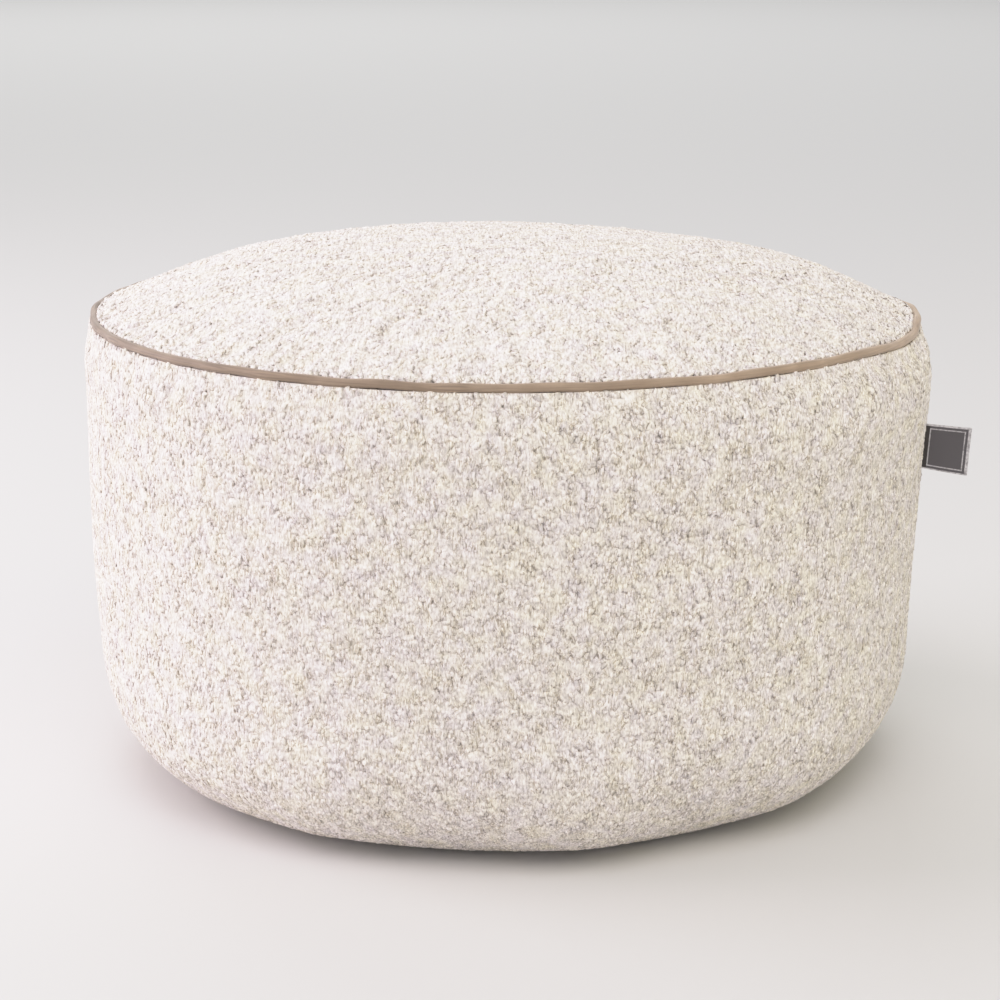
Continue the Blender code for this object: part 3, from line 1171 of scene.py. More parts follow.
@dataclass(frozen=True)
class LabelFinish:
    """Dark grey satin weave with light woven edges, an inset square line and a painted seam shadow
    at its root.

    The map's u runs from one cut end over the fold to the other, and v across the strip from
    its middle, both in metres.
    """

    ground: tuple[float, float, float] = (0.095, 0.088, 0.095)
    light: tuple[float, float, float] = (0.60, 0.58, 0.60)
    # painted shadow of the seam on the label's root
    root_painted_shadow: tuple[float, float, float] = (0.040, 0.034, 0.032)
    edge_line: float = 0.0008
    fold_turn: float = 0.0011
    inset: float = 0.0022
    line_width: float = 0.0007
    line_share: float = 0.85
    mottle_scale: float = 700.0
    mottle_spread: tuple[float, float] = (0.1, 0.6)
    thread_pitch: float = 0.0003
    twill_relief: float = 0.35
    relief_depth: float = 0.00008
    relief_strength: float = 0.6
    roughness: float = 0.5
    sheen: float = 0.1
    specular: float = 0.45

    def band(self, bench: Bench, value: object, low: float, high: float) -> bpy.types.NodeSocket:
        """1 where a value lies between low and high, and 0 elsewhere."""
        above = bench.math("GREATER_THAN", value, low)
        return bench.math("MULTIPLY", above, bench.math("LESS_THAN", value, high))

    def material(self, fold: float, root: float, width: float) -> bpy.types.Material:
        """Builds the label's material.

        Args:
            fold: The length from a cut end to the fold.
            root: The length of the painted seam shadow, a dark strip beside the seam.
            width: The strip's width.

        Returns:
            The material.
        """
        bench = Bench("dark_label_satin")
        parts = bench.add("SeparateXYZ", Vector=bench.add("UVMap").outputs["UV"])
        along, across = parts.outputs["X"], parts.outputs["Y"]
        from_fold = bench.math("ABSOLUTE", bench.math("SUBTRACT", along, fold))
        to_fold = bench.math("SUBTRACT", from_fold, self.fold_turn)
        to_side = bench.math("SUBTRACT", width / 2, bench.math("ABSOLUTE", across))
        from_root = bench.math("SUBTRACT", fold - root, from_fold)
        from_line = bench.math("ADD", from_root, self.inset)
        near = bench.math("MINIMUM", bench.math("MINIMUM", to_fold, to_side), from_line)
        line = self.band(bench, near, self.inset, self.inset + self.line_width)
        rim = bench.math("LESS_THAN", bench.math("MINIMUM", to_fold, to_side), self.edge_line)
        woven = bench.math("MAXIMUM", bench.math("MULTIPLY", line, self.line_share), rim)
        # painted shadow: a dark strip where the label goes into the seam
        shade = bench.math("LESS_THAN", from_root, 0.0)
        ground = bench.blend(shade, (*self.ground, 1), (*self.root_painted_shadow, 1))
        mottle = bench.noise(bench.own_place(), self.mottle_scale)
        lights = bench.math("MULTIPLY", woven, bench.spread(mottle, *self.mottle_spread))
        colour = bench.blend(lights, ground, (*self.light, 1))
        beat = 2 * math.pi / self.thread_pitch
        twill = bench.math("SINE", bench.math("MULTIPLY", bench.math("ADD", along, across), beat))
        raised = bench.math("MULTIPLY_ADD", twill, self.twill_relief, woven)
        bench.bump(raised, self.relief_depth, self.relief_strength)
        bench.set_shader(
            Base_Color=colour,
            Roughness=self.roughness,
            Sheen_Weight=self.sheen,
            Specular_IOR_Level=self.specular,
        )
        return bench.material


# ---------------------------------------------------------------- cloth skins


@dataclass
class WallSkin:
    """The side's surface as a function of azimuth in radians and length down its section."""

    shape: DrumShape
    path: Path
    settled: SettledRows | None
    pile_depth: float = 0.0010
    edge_proud: float = 0.15
    edge_fade: float = 0.0070
    seam_azimuth: float = -11.0
    groove_depth: float = 0.0032
    groove_width: float = 0.0022
    shoulder_width: float = 0.0075
    shoulder_rise: float = 0.0007
    shoulder_sharpness: float = 3.0
    end_fade: float = 0.0120
    floor_calm: float = 0.0040

    def depth(self, along: Array) -> Array:
        """How far inside its solid the ground cloth lies.

        It is the pile's depth over most of the wall, and a little less than nothing beside
        the top seam and the base's, where the cloth stands proud.

        Args:
            along: Lengths down the section.

        Returns:
            The depths.
        """
        near_end = np.minimum(along - self.shape.wall_hug, self.path.length - along)
        inwards = (1 + self.edge_proud) * smooth_step(near_end / self.edge_fade)
        return self.pile_depth * (inwards - self.edge_proud)

    def seam_distance(self, azimuth: Array) -> Array:
        """The distance round the wall from the upright seam."""
        return np.radians(turn_between(azimuth, self.seam_azimuth)) * self.shape.body_radius

    def at(self, azimuth: Array, along: Array) -> Array:
        """The ground cloth's points.

        The section's point, moved along the section's normal by the pile's depth inwards,
        the lumps, the puckers, the settled moves and the upright seam's groove, which has a
        soft shoulder on each side.

        Args:
            azimuth: Azimuths in radians.
            along: Lengths down the section.

        Returns:
            The points.
        """
        radius, height, out, up = self.path.at(along)
        move = self.shape.wall_push(azimuth, height) - self.depth(along)
        free = smooth_step(along / self.end_fade)
        free = free * smooth_step((height - self.floor_calm) / self.end_fade)
        move = move + self.shape.pucker_push(azimuth, height) * free
        if self.settled is not None:
            move = move + self.settled.at(azimuth, along)
        off = self.seam_distance(azimuth)
        groove = -self.groove_depth * bell(off / self.groove_width)
        beside = np.abs(off) / self.shoulder_width - 1
        shoulder = self.shoulder_rise * np.exp(-self.shoulder_sharpness * beside**2)
        move = move + (groove + shoulder) * free
        radius, height = radius + out * move, height + up * move
        return polar(radius, azimuth, self.shape.settled_height(azimuth, radius, height))

    def frames(self, azimuth: Array, along: Array) -> tuple[Array, Array, Array]:
        """The surface's own directions, found from points a small step to each side.

        Args:
            azimuth: Azimuths in radians.
            along: Lengths down the section.

        Returns:
            The points, outward normals and upward grain directions.
        """
        turn, step = 0.004, 0.001
        centre = self.at(azimuth, along)
        around = self.at(azimuth + turn, along) - self.at(azimuth - turn, along)
        down = self.at(azimuth, along + step) - self.at(azimuth, along - step)
        return centre, unit(np.cross(down, around)), unit(-down)


@dataclass
class CrownSkin:
    """The top panel's surface as a function of two values from -1 to 1 over a square."""

    shape: DrumShape
    path: Path
    settled: SettledRows | None
    pile_depth: float = 0.0010
    edge_proud: float = 0.10
    edge_fade: float = 0.0070
    settled_fade: float = 0.0300

    def at(self, across: Array, along: Array) -> Array:
        """The ground cloth's points.

        The square is mapped to a disc, the disc's radius to the length of the section, and
        the section's point is moved along its normal by the pile's depth, lumps and settling.

        Args:
            across: Values from -1 to 1, left to right.
            along: Values from -1 to 1, front to back.

        Returns:
            The points.
        """
        share, azimuth = disc_map(across, along)
        length = share * self.path.length
        radius, height, out, up = self.path.at(length)
        near_end = self.path.length - self.shape.crown_hug - length
        inwards = (1 + self.edge_proud) * smooth_step(near_end / self.edge_fade)
        depth = self.pile_depth * (inwards - self.edge_proud)
        move = self.shape.crown_push(radius, azimuth) - depth
        if self.settled is not None:
            reach = smooth_step((length - self.settled.start) / self.settled_fade)
            move = move + self.settled.at(azimuth, length) * reach
        radius, height = radius + out * move, height + up * move
        return polar(radius, azimuth, self.shape.settled_height(azimuth, radius, height))

    def frames(self, across: Array, along: Array) -> tuple[Array, Array, Array]:
        """The surface's own directions, found from points a small step to each side.

        Args:
            across: Values from -1 to 1, left to right.
            along: Values from -1 to 1, front to back.

        Returns:
            The points, outward normals and front-to-back grain directions.
        """
        step = 0.003
        centre = self.at(across, along)
        right = self.at(across + step, along) - self.at(across - step, along)
        back = self.at(across, along + step) - self.at(across, along - step)
        normal = unit(np.cross(right, back))
        grain = np.zeros_like(centre)
        grain[..., 1] = 1.0
        grain -= (grain * normal).sum(axis=-1, keepdims=True) * normal
        return centre, normal, unit(grain)


@dataclass(frozen=True)
class YarnCurls:
    """Short curls of yarn: arched, bent, tapered to both ends and sunk into the ground.

    Each has a pole at both ends and two rings of three points between them.
    """

    length: float = 0.0052
    thickness: float = 0.0038
    rise: float = 0.00025
    sink: float = 0.0020
    bend: float = 0.30
    size_spread: float = 0.25
    longest: float = 1.7
    rise_spread: tuple[float, float] = (0.45, 1.25)
    turn_spread: float = 34.0
    arch_power: float = 0.8
    roundness: float = 0.32
    rings: tuple[float, float] = (0.27, 0.73)
    ring_widths: tuple[float, float] = (1.0, 0.95)
    # pile levels for the painted depth shade: flanks and sunk ends darker than the crest, low curls
    # darker than high ones
    flank_pile: float = 0.5
    end_pile: float = 0.35
    crest_fall: float = 0.35
    pile_limits: tuple[float, float] = (0.5, 1.2)
    floor_gap: float = 0.0003

    def grow(
        self, frames: tuple[Array, Array, Array], dice: np.random.Generator
    ) -> tuple[Array, list[Array], Array, Array]:
        """Grows one curl on each frame.

        At a share t of a curl's length its arch is a = 1 - (2t - 1)^2. The centre line is
        forward (t - 1/2) + sideways b (a - 1/2) + up (-s + (r + s) a^0.8), with b the bend, r
        the rise and s how deep the ends are sunk. A ring is a flank to each side of the line
        and a crest above it.

        Args:
            frames: Points, normals and grain directions on the ground.
            dice: The seeded random numbers.

        Returns:
            The points, the face sets, and the pile and tone of each point.
        """
        centre, normal, grain = frames
        count = len(centre)
        size = np.exp(dice.normal(0.0, self.size_spread, count))
        thick = self.thickness * np.exp(dice.normal(0.0, self.size_spread / 2, count))
        rise = self.rise * dice.uniform(*self.rise_spread, count)
        bend = self.bend * dice.uniform(-1.0, 1.0, count)
        turn = np.radians(dice.normal(0.0, self.turn_spread, count))
        tone = dice.uniform(0.0, 1.0, count)
        side = np.cross(normal, grain)
        heading = grain * np.cos(turn)[:, None] + side * np.sin(turn)[:, None]
        across = np.cross(normal, heading)
        reach = (self.length * np.minimum(size, self.longest))[:, None]

        def line(t: float) -> Array:
            """The curls' centre lines at one share of their length.

            Args:
                t: The share.

            Returns:
                A point for each curl.
            """
            arch = 1 - (2 * t - 1) ** 2
            forward = heading * reach * (t - 0.5)
            sideways = across * reach * bend[:, None] * (arch - 0.5)
            lift = -self.sink + (rise + self.sink) * arch**self.arch_power
            return centre + forward + sideways + normal * lift[:, None]

        points, pile, step = [], [], 0.05
        for t, width in zip(self.rings, self.ring_widths):
            middle = line(t)
            ahead = unit(line(t + step) - line(t - step))
            left = unit(np.cross(normal, ahead))
            half = (thick * width / 2)[:, None]
            crown = middle + normal * half * self.roundness
            points += [middle + left * half, crown, middle - left * half]
            crest = 1 - abs(2 * t - 1) * self.crest_fall
            pile += [self.flank_pile, crest, self.flank_pile]
        points += [line(0.0), line(1.0)]
        pile += [self.end_pile, self.end_pile]
        stacked = np.stack(points, axis=1).reshape(-1, 3)
        # painted depth shade: curls that rise less count lower in the pile and come out darker
        lift_share = np.clip(rise / self.rise, *self.pile_limits)
        depth = (np.array(pile)[None] * lift_share[:, None]).ravel()
        return stacked, self.faces(count), depth, np.repeat(tone, len(points))

    def faces(self, count: int) -> list[Array]:
        """Corner numbers of the curls' faces: quads between the rings, a fan at both ends.

        Args:
            count: How many curls there are.

        Returns:
            The quads and the triangles.
        """
        sides = ((0, 1), (1, 2), (2, 0))
        first_end = 3 * len(self.rings)
        quads = [
            (ring + a, ring + b, ring + 3 + b, ring + 3 + a)
            for ring in range(0, first_end - 3, 3)
            for a, b in sides
        ]
        fans = [(first_end, b, a) for a, b in sides]
        fans += [(first_end + 1, first_end - 3 + a, first_end - 3 + b) for a, b in sides]
        starts = (np.arange(count) * (first_end + 2))[:, None, None]
        return [(starts + np.array(one)[None]).reshape(-1, len(one[0])) for one in (quads, fans)]


def curl_piece(
    name: str,
    frames: tuple[Array, Array, Array],
    curls: YarnCurls,
    dice: np.random.Generator,
    material: bpy.types.Material,
) -> bpy.types.Object:
    """Makes a layer of curls one piece.

    Args:
        name: The piece's name.
        frames: Where the curls stand.
        curls: Their form.
        dice: The seeded random numbers.
        material: The yarn's finish.

    Returns:
        The piece.
    """
    points, faces, pile, tone = curls.grow(frames, dice)
    points[:, 2] = np.maximum(points[:, 2], curls.floor_gap)
    mesh = filled_mesh(name, points, faces)
    set_values(mesh, "pile", pile)
    set_values(mesh, "tone", tone)
    return put_in_scene(name, mesh, material)


def ground_piece(
    name: str, mesh: bpy.types.Mesh, material: bpy.types.Material, dice: np.random.Generator
) -> bpy.types.Object:
    """Makes a ground cloth a piece: low in the pile, which gives it painted depth shade, and its
    tone drawn point by point.

    Args:
        name: The piece's name.
        mesh: Its mesh.
        material: The yarn's finish.
        dice: The seeded random numbers.

    Returns:
        The piece.
    """
    count = len(mesh.vertices)
    set_values(mesh, "pile", np.full(count, GROUND_PILE))
    set_values(mesh, "tone", dice.uniform(0.0, 1.0, count))
    return put_in_scene(name, mesh, material)


# ---------------------------------------------------------------- the pieces


@dataclass
class TopPanel:
    """The crowned top panel: its ground cloth and its pile."""

    skin: CrownSkin
    material: bpy.types.Material
    ground_cells: int = 150
    curl_cells: tuple[int, int] = (150, 104)
    jitter: float = 0.36
    rough: float = 0.00025
    rough_share: float = 0.98
    seam_gap: float = 0.0004
    curls: YarnCurls = YarnCurls(length=0.0070, thickness=0.0036, turn_spread=24.0)

    def ground(self, dice: np.random.Generator) -> bpy.types.Object:
        """Builds the ground cloth, closed by an underside that fans from its middle.

        The grid's two parameters are those of the skin; a little seeded noise roughens it.

        Args:
            dice: The seeded random numbers.

        Returns:
            The piece.
        """
        count = self.ground_cells + 1
        side = np.linspace(-1.0, 1.0, count)
        across, along = np.meshgrid(side, side, indexing="ij")
        points = self.skin.at(across, along)
        inner = np.maximum(np.abs(across), np.abs(along)) < self.rough_share
        points[..., 2] += dice.normal(0.0, self.rough, across.shape) * inner
        number = np.arange(count * count).reshape(count, count)
        sides = (number[:-1, 0], number[-1, :-1], number[:0:-1, -1], number[0, :0:-1])
        underside = fan(count * count, np.concatenate(sides), False)
        middle = (0.0, 0.0, float(points[0, 0, 2]))
        points = np.concatenate((points.reshape(-1, 3), (middle,)))
        mesh = filled_mesh("top_panel_cloth", points, [grid_quads(count, count), underside])
        piece = ground_piece("top_panel_cloth", mesh, self.material, dice)
        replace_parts(piece, Node.TOP.value)
        return piece

    def pile(self, dice: np.random.Generator) -> bpy.types.Object:
        """Grows the curls on a jittered lattice over the square.

        Each second column is shifted by half a cell.

        Args:
            dice: The seeded random numbers.

        Returns:
            The piece.
        """
        columns, rows = self.curl_cells
        column, row = np.mgrid[0:columns, 0:rows]
        shift = dice.uniform(-self.jitter, self.jitter, (2, columns, rows)) + 0.5
        across = (column + shift[0]) / columns * 2 - 1
        along = (row + shift[1] + 0.25 - 0.5 * (column % 2)) / rows * 2 - 1
        limit = 1 - (self.skin.shape.crown_hug + self.seam_gap) / self.skin.path.length
        across = np.clip(across, -limit, limit).ravel()
        along = np.clip(along, -limit, limit).ravel()
        frames = self.skin.frames(across, along)
        return curl_piece("top_panel_pile", frames, self.curls, dice, self.material)


@dataclass
class SideBand:
    """The side band: its ground cloth with the upright seam, and its pile in sectors."""

    skin: WallSkin
    material: bpy.types.Material
    ground_rows: int = 104
    ground_columns: int = 520
    curl_rows: int = 98
    curl_columns: int = 470
    jitter: float = 0.36
    rough: float = 0.00025
    rough_fade: float = 0.0100
    floor_gap: float = 0.0004
    pinch: float = 2.16
    pinch_width: float = 0.09
    seam_clear: float = 0.0016
    seam_gap: float = 0.0008
    base_gap: float = 0.0040
    sectors: tuple[str, ...] = ("front", "right", "left")
    first_sector: float = -150.0
    curls: YarnCurls = YarnCurls()

    def azimuths(self) -> Array:
        """Column azimuths, once round and closer together at the upright seam.

        The pace is one over the sum of one and a bell at the seam. The azimuths are its
        running sum, scaled to a whole turn.

        Returns:
            The azimuths in radians.
        """
        even = round_turns(self.ground_columns)
        pace = 1.0 / (1.0 + self.pinch * bell((even - math.pi) / self.pinch_width))
        warped = np.concatenate(([0.0], np.cumsum(pace)))
        warped = warped[:-1] / warped[-1] * 2 * math.pi
        centre = np.interp(math.pi, even, warped)
        return warped - centre + math.radians(self.skin.seam_azimuth)

    def ground(self, dice: np.random.Generator) -> bpy.types.Object:
        """Builds the ground cloth, closed by fans of triangles at the top seam and the base.

        The grid's two parameters are the azimuth and the length down the section; a little
        seeded noise roughens it.

        Args:
            dice: The seeded random numbers.

        Returns:
            The piece.
        """
        lengths = np.linspace(0.0, self.skin.path.length, self.ground_rows)
        along, azimuth = np.meshgrid(lengths, self.azimuths(), indexing="ij")
        points = self.skin.at(azimuth, along)
        near_end = np.minimum(along, self.skin.path.length - along)
        noise = dice.normal(0.0, self.rough, along.shape) * smooth_step(near_end / self.rough_fade)
        points += polar(noise, azimuth, np.zeros_like(noise))
        points[..., 2] = np.maximum(points[..., 2], self.floor_gap)
        mesh = capped_skin("side_band_cloth", points)
        piece = ground_piece("side_band_cloth", mesh, self.material, dice)
        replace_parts(piece, Node.BAND.value)
        return piece

    def pile(self, dice: np.random.Generator) -> list[bpy.types.Object]:
        """Grows the curls on a jittered lattice and parts them into sectors.

        Each second row is shifted by half a cell. Where the radius is smaller, a share of
        the curls is left out, so that they stay equally dense.

        Args:
            dice: The seeded random numbers.

        Returns:
            The pieces, one a sector.
        """
        length = self.skin.path.length
        row, column = np.mgrid[0 : self.curl_rows, 0 : self.curl_columns]
        shift = dice.uniform(-self.jitter, self.jitter, (2, *row.shape))
        first = self.skin.shape.wall_hug + self.seam_gap
        along = first + (row + 0.5 + shift[0]) / self.curl_rows * (length - self.base_gap - first)
        azimuth = (column + 0.5 * (row % 2) + shift[1]) / self.curl_columns * 2 * math.pi
        along, azimuth = along.ravel(), azimuth.ravel()
        radius = self.skin.path.at(along)[0]
        kept = dice.uniform(0.0, 1.0, len(radius)) < radius / self.skin.shape.body_radius
        kept &= np.abs(self.skin.seam_distance(azimuth)) > self.seam_clear
        along, azimuth = along[kept], azimuth[kept]
        sector = ((np.degrees(azimuth) - self.first_sector) % 360) // (360 / len(self.sectors))
        pieces = []
        for number, name in enumerate(self.sectors):
            here = sector == number
            frames = self.skin.frames(azimuth[here], along[here])
            title = f"side_band_pile_{name}"
            pieces.append(curl_piece(title, frames, self.curls, dice, self.material))
        return pieces


@dataclass
class TopPiping:
    """The piping's bead: a closed tube round the stool, a little uneven."""

    shape: DrumShape
    finish: PipingFinish
    columns: int = 720
    sides: int = 14
    sway: float = 0.00022
    swell: float = 0.00010
    waves: int = 6
    beats: tuple[int, int] = (5, 46)

    def wander(self, azimuth: Array, dice: np.random.Generator) -> Array:
        """A smooth closed wander: a sum of sines of seeded beat and phase, about 1 in size.

        Args:
            azimuth: Azimuths in radians.
            dice: The seeded random numbers.

        Returns:
            The wander at each azimuth.
        """
        beats = dice.integers(*self.beats, self.waves)
        phases = dice.uniform(0.0, 2 * math.pi, self.waves)
        waves = [np.sin(beat * azimuth + phase) for beat, phase in zip(beats, phases)]
        return np.sum(waves, axis=0) / math.sqrt(self.waves / 2)

    def build(self, dice: np.random.Generator) -> bpy.types.Object:
        """Builds the bead as a function of the azimuth and the turn round the bead.

        A small circle stands on a ring whose radius, height and thickness wander a little.

        Args:
            dice: The seeded random numbers.

        Returns:
            The piece.
        """
        azimuth = round_turns(self.columns)
        turn = -round_turns(self.sides)[:, None]
        radius = self.shape.seam_radius + self.sway * self.wander(azimuth, dice)
        height = self.shape.seam_height + self.sway * self.wander(azimuth, dice)
        bead = self.shape.bead_radius + self.swell * (self.wander(azimuth, dice) - 1.0)
        out, up = radius + bead * np.cos(turn), height + bead * np.sin(turn)
        turned = np.broadcast_to(azimuth, up.shape)
        points = polar(out, turned, self.shape.settled_height(turned, out, up)).reshape(-1, 3)
        quads = ring_quads(self.sides, self.columns, closed=True)
        mesh = filled_mesh("top_piping_bead", points, [quads])
        piece = put_in_scene("top_piping_bead", mesh, self.finish.material())
        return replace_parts(piece, Node.PIPING.value)


@dataclass
class BasePanel:
    """The flat woven disc underneath."""

    shape: DrumShape
    finish: BaseFinish
    columns: int = 180
    rim_points: int = 9
    flat_points: int = 12
    flat_reach: tuple[float, float] = (0.15, 0.985)

    def build(self) -> bpy.types.Object:
        """Builds the disc: a turned section of a flat top, a half-round rim and a flat base.

        Returns:
            The piece.
        """
        turns = np.linspace(math.pi / 2, -math.pi / 2, self.rim_points)
        half = self.shape.base_thickness / 2
        inner_radius = self.shape.base_radius - half
        inner = np.linspace(*self.flat_reach, self.flat_points) * inner_radius
        radius = np.concatenate((inner, inner_radius + half * np.cos(turns), inner[::-1]))
        flat_top = np.full(len(inner), self.shape.base_thickness)
        height = np.concatenate((flat_top, half + half * np.sin(turns), np.zeros(len(inner))))
        heights = np.broadcast_to(height[:, None], (len(radius), self.columns))
        points = polar(radius[:, None], round_turns(self.columns), heights)
        mesh = capped_skin("base_panel_cloth", points)
        piece = put_in_scene("base_panel_cloth", mesh, self.finish.material())
        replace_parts(piece, Node.BASE.value)
        return piece


@dataclass
class SideLabel:
    """The label: a strip folded in two, its cut ends in the upright seam."""

    skin: WallSkin
    finish: LabelFinish
    root_width: float = 0.0262
    fold_width: float = 0.0284
    reach: float = 0.0268
    root: float = 0.0012
    centre_height: float = 0.1975
    drop_angle: float = 6.0
    cloth: float = 0.0007
    space: float = 0.0014
    bow: float = 0.0016
    cup: float = 0.0006
    soft_edge: float = 0.3
    # how far the painted seam shadow reaches past the root
    painted_shadow_strip: float = 0.0026
    length_cells: int = 72
    width_cells: int = 24

    def strip(self) -> tuple[Array, Array, Array]:
        """The strip seen from above as a function of the length along it.

        It runs straight out, round a half circle at the fold and straight back.

        Returns:
            The lengths, the distances out from the cut ends and the offsets across.
        """
        bend = self.space / 2
        straight = self.root + self.reach - bend - self.cloth / 2
        whole = 2 * straight + math.pi * bend
        length = np.linspace(0.0, whole, self.length_cells + 1)
        turn = np.clip((length - straight) / bend, 0.0, math.pi)
        out = np.minimum(length, straight) + bend * np.sin(turn)
        out -= np.maximum(length - straight - math.pi * bend, 0.0)
        return length, out, -bend * np.cos(turn)

    def build(self) -> bpy.types.Object:
        """Builds the strip as a function of its length and width, then gives it thickness.

        It widens and hangs lower towards the fold, bows to one side with the square of its
        reach and cups a little across. Its cut ends sit in the wall.

        Returns:
            The piece.
        """
        length, out, across = self.strip()
        side = np.linspace(-0.5, 0.5, self.width_cells + 1)
        share = (out / (self.root + self.reach))[:, None]
        width = self.root_width + (self.fold_width - self.root_width) * share
        up = side * width
        drop = math.radians(self.drop_angle)
        height = self.centre_height + up - out[:, None] * math.sin(drop)
        cup = self.cup * (2 * side) ** 2 * share
        offset = across[:, None] + self.bow * share**2 - cup
        seam = math.radians(self.skin.seam_azimuth)
        radius = self.skin.shape.wall_radius(height)
        radius = radius + self.skin.shape.wall_push(np.full_like(height, seam), height)
        along = radius - self.root + out[:, None] * math.cos(drop)
        x = along * math.cos(seam) - offset * math.sin(seam)
        y = along * math.sin(seam) + offset * math.cos(seam)
        points = np.stack((x, y, height), axis=-1).reshape(-1, 3)
        mesh = filled_mesh("side_label_strip", points, [grid_quads(*height.shape)])
        square = np.broadcast_to(side * self.fold_width, height.shape)
        places = np.stack((np.broadcast_to(length[:, None], height.shape), square), axis=-1)
        set_map(mesh, places.reshape(-1, 2))
        fold = length[-1] / 2
        material = self.finish.material(fold, self.root + self.painted_shadow_strip, self.fold_width)
        piece = put_in_scene("side_label_strip", mesh, material)
        thicken = piece.modifiers.new("cloth", "SOLIDIFY")
        thicken.thickness = self.cloth
        thicken.offset = 0.0
        soften = piece.modifiers.new("soft_edge", "BEVEL")
        soften.width = self.cloth * self.soft_edge
        soften.segments = 2
        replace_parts(piece, Node.LABEL.value)
        return piece


# ---------------------------------------------------------------- the studio


@dataclass(frozen=True)
class SoftLight:
    """A square area light that looks at a point."""

    name: str
    place: tuple[float, float, float]
    size: float
    power: float
    colour: tuple[float, float, float]
    aim: tuple[float, float, float] = (0.0, 0.0, 0.15)

    def build(self) -> None:
        """Adds the light."""
        data = bpy.data.lights.new(self.name, "AREA")
        data.size = self.size
        data.energy = self.power
        data.color = self.colour
        light = bpy.data.objects.new(self.name, data)
        bpy.context.scene.collection.objects.link(light)
        aim_at(light, self.place, self.aim)


def aim_at(
    thing: bpy.types.Object,
    place: tuple[float, float, float],
    aim: tuple[float, float, float],
) -> None:
    """Puts a camera or light at a place and turns its -Z towards a point.

    Args:
        thing: The camera or light.
        place: Where it stands.
        aim: The point that it looks at.
    """
    back = unit(np.array(place) - np.array(aim))
    right = unit(np.cross((0.0, 0.0, 1.0), back))
    up = np.cross(back, right)
    turned = np.eye(4)
    turned[:3, :3] = np.stack((right, up, back), axis=1)
    turned[:3, 3] = place
    thing.matrix_world = Matrix(turned.tolist())


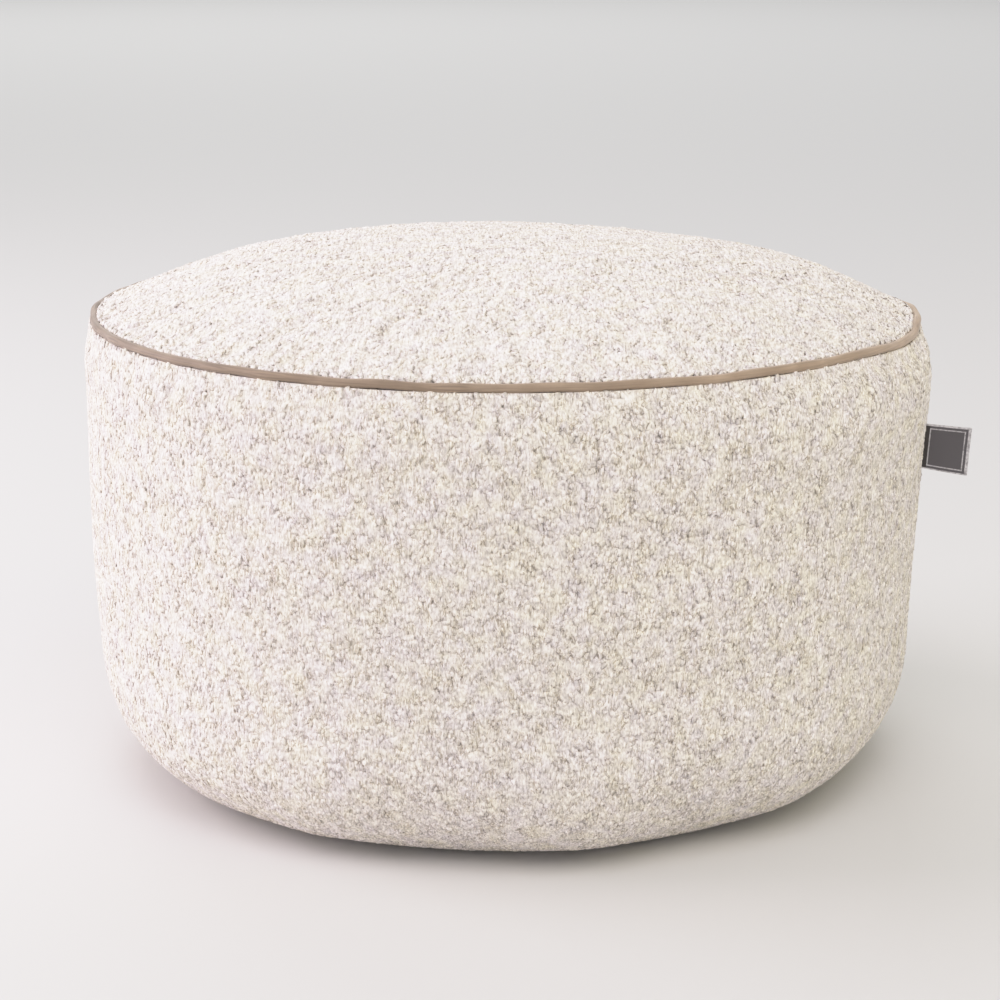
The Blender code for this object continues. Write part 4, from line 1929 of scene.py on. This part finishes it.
@dataclass(frozen=True)
class Studio:
    """A pale floor, soft light mostly from the left, and the camera."""

    camera_distance: float = 1.600
    camera_elevation: float = 13.97
    camera_aim: tuple[float, float, float] = (-0.0030, 0.0, 0.1528)
    focal_pixels: float = 2636.0
    image_pixels: float = 1000.0
    sensor: float = 36.0
    farthest: float = 100.0
    tone_knee: float = 0.66
    tone_reach: float = 3.0
    tone_points: int = 16
    floor_size: float = 60.0
    floor_gap: float = 0.0002
    floor_colour: tuple[float, float, float] = (0.68, 0.675, 0.67)
    floor_roughness: float = 0.8
    floor_specular: float = 0.2
    air_colour: tuple[float, float, float] = (1.0, 1.0, 1.0)
    air_strength: float = 0.62
    lights: tuple[SoftLight, ...] = (
        SoftLight("left", (-2.2, 0.32, 0.7), 1.8, 56.0, (1.0, 0.885, 0.96)),
        SoftLight("front", (0.3, -1.8, 2.9), 2.2, 42.0, (1.0, 0.94, 0.97)),
        SoftLight("low", (0.3, -2.6, 0.45), 1.6, 6.8, (1.0, 0.94, 0.97)),
        SoftLight("right", (1.7, -0.9, 1.5), 1.4, 3.6, (1.0, 0.9, 0.1)),
        SoftLight("back", (-1.4, 7.0, 5.0), 5.6, 175.0, (1.0, 1.0, 1.0)),
    )

    def add_camera(self) -> None:
        """Adds the camera at its distance and elevation, looking along +Y."""
        data = bpy.data.cameras.new("camera")
        data.sensor_width = self.sensor
        data.lens = self.sensor * self.focal_pixels / self.image_pixels
        data.clip_end = self.farthest
        camera = bpy.data.objects.new("camera", data)
        bpy.context.scene.collection.objects.link(camera)
        rise = math.radians(self.camera_elevation)
        x, y, z = self.camera_aim
        away = self.camera_distance
        place = (x, y - away * math.cos(rise), z + away * math.sin(rise))
        aim_at(camera, place, self.camera_aim)
        bpy.context.scene.camera = camera

    def add_floor(self) -> None:
        """Adds a plain pale floor just under the stool."""
        half, low = self.floor_size / 2, -self.floor_gap
        points = [(x * half, y * half, low) for x, y in ((-1, -1), (1, -1), (1, 1), (-1, 1))]
        mesh = filled_mesh("floor", points, [np.array([[0, 1, 2, 3]])])
        bench = Bench("pale_floor")
        bench.set_shader(
            Base_Color=(*self.floor_colour, 1),
            Roughness=self.floor_roughness,
            Specular_IOR_Level=self.floor_specular,
        )
        mesh.materials.append(bench.material)
        floor = bpy.data.objects.new("floor", mesh)
        bpy.context.scene.collection.objects.link(floor)

    def add_air(self) -> None:
        """Adds even light from all round."""
        world = bpy.data.worlds.new("studio_air")
        world.use_nodes = True
        background = world.node_tree.nodes["Background"]
        background.inputs["Color"].default_value = (*self.air_colour, 1)
        background.inputs["Strength"].default_value = self.air_strength
        bpy.context.scene.world = world

    def set_tones(self) -> None:
        """Gives the picture soft highlights, as film does.

        Light x up to the knee k stays as it is, and more of it becomes
        k + (1 - k) (1 - exp((k - x) / (1 - k))), which nears 1 and never reaches it.
        """
        view = bpy.context.scene.view_settings
        view.view_transform = "Standard"
        view.use_curve_mapping = True
        view.curve_mapping.clip_max_x = self.tone_reach
        room = 1 - self.tone_knee
        light = np.linspace(self.tone_knee, self.tone_reach, self.tone_points)
        tones = self.tone_knee + room * (1 - np.exp((self.tone_knee - light) / room))
        curve = view.curve_mapping.curves[3]  # the one for all three colours
        curve.points[1].location = (float(light[-1]), float(tones[-1]))
        for x, y in zip(light[:-1], tones[:-1]):
            curve.points.new(float(x), float(y))
        curve.points.new(self.tone_knee / 2, self.tone_knee / 2)
        view.curve_mapping.update()

    def build(self) -> None:
        """Adds everything."""
        self.add_camera()
        self.add_floor()
        self.add_air()
        for light in self.lights:
            light.build()
        self.set_tones()


def main() -> None:
    """Builds the studio and the footstool's pieces in order."""
    logging.basicConfig(level=logging.INFO, format="%(name)s: %(message)s")
    Studio().build()
    shape = DrumShape.from_frame()
    crown_path, wall_path = Path(shape.crown_section()), Path(shape.wall_section())
    crown_rows, wall_rows = None, None
    crown_rows, wall_rows = SkinSettling().settle(crown_path, wall_path, shape)
    side_boucle = BoucleFinish().material(Grain.UPRIGHT)
    top_boucle = TOP_BOUCLE.material(Grain.FRONT_TO_BACK)
    dice = np.random.default_rng(SEED)
    top = TopPanel(CrownSkin(shape, crown_path, crown_rows), top_boucle)
    top.ground(dice)
    top.pile(dice)
    wall = WallSkin(shape, wall_path, wall_rows)
    band = SideBand(wall, side_boucle)
    band.ground(dice)
    band.pile(dice)
    TopPiping(shape, PipingFinish()).build(dice)
    BasePanel(shape, BaseFinish()).build()
    SideLabel(wall, LabelFinish()).build()


if __name__ == "__main__":
    main()
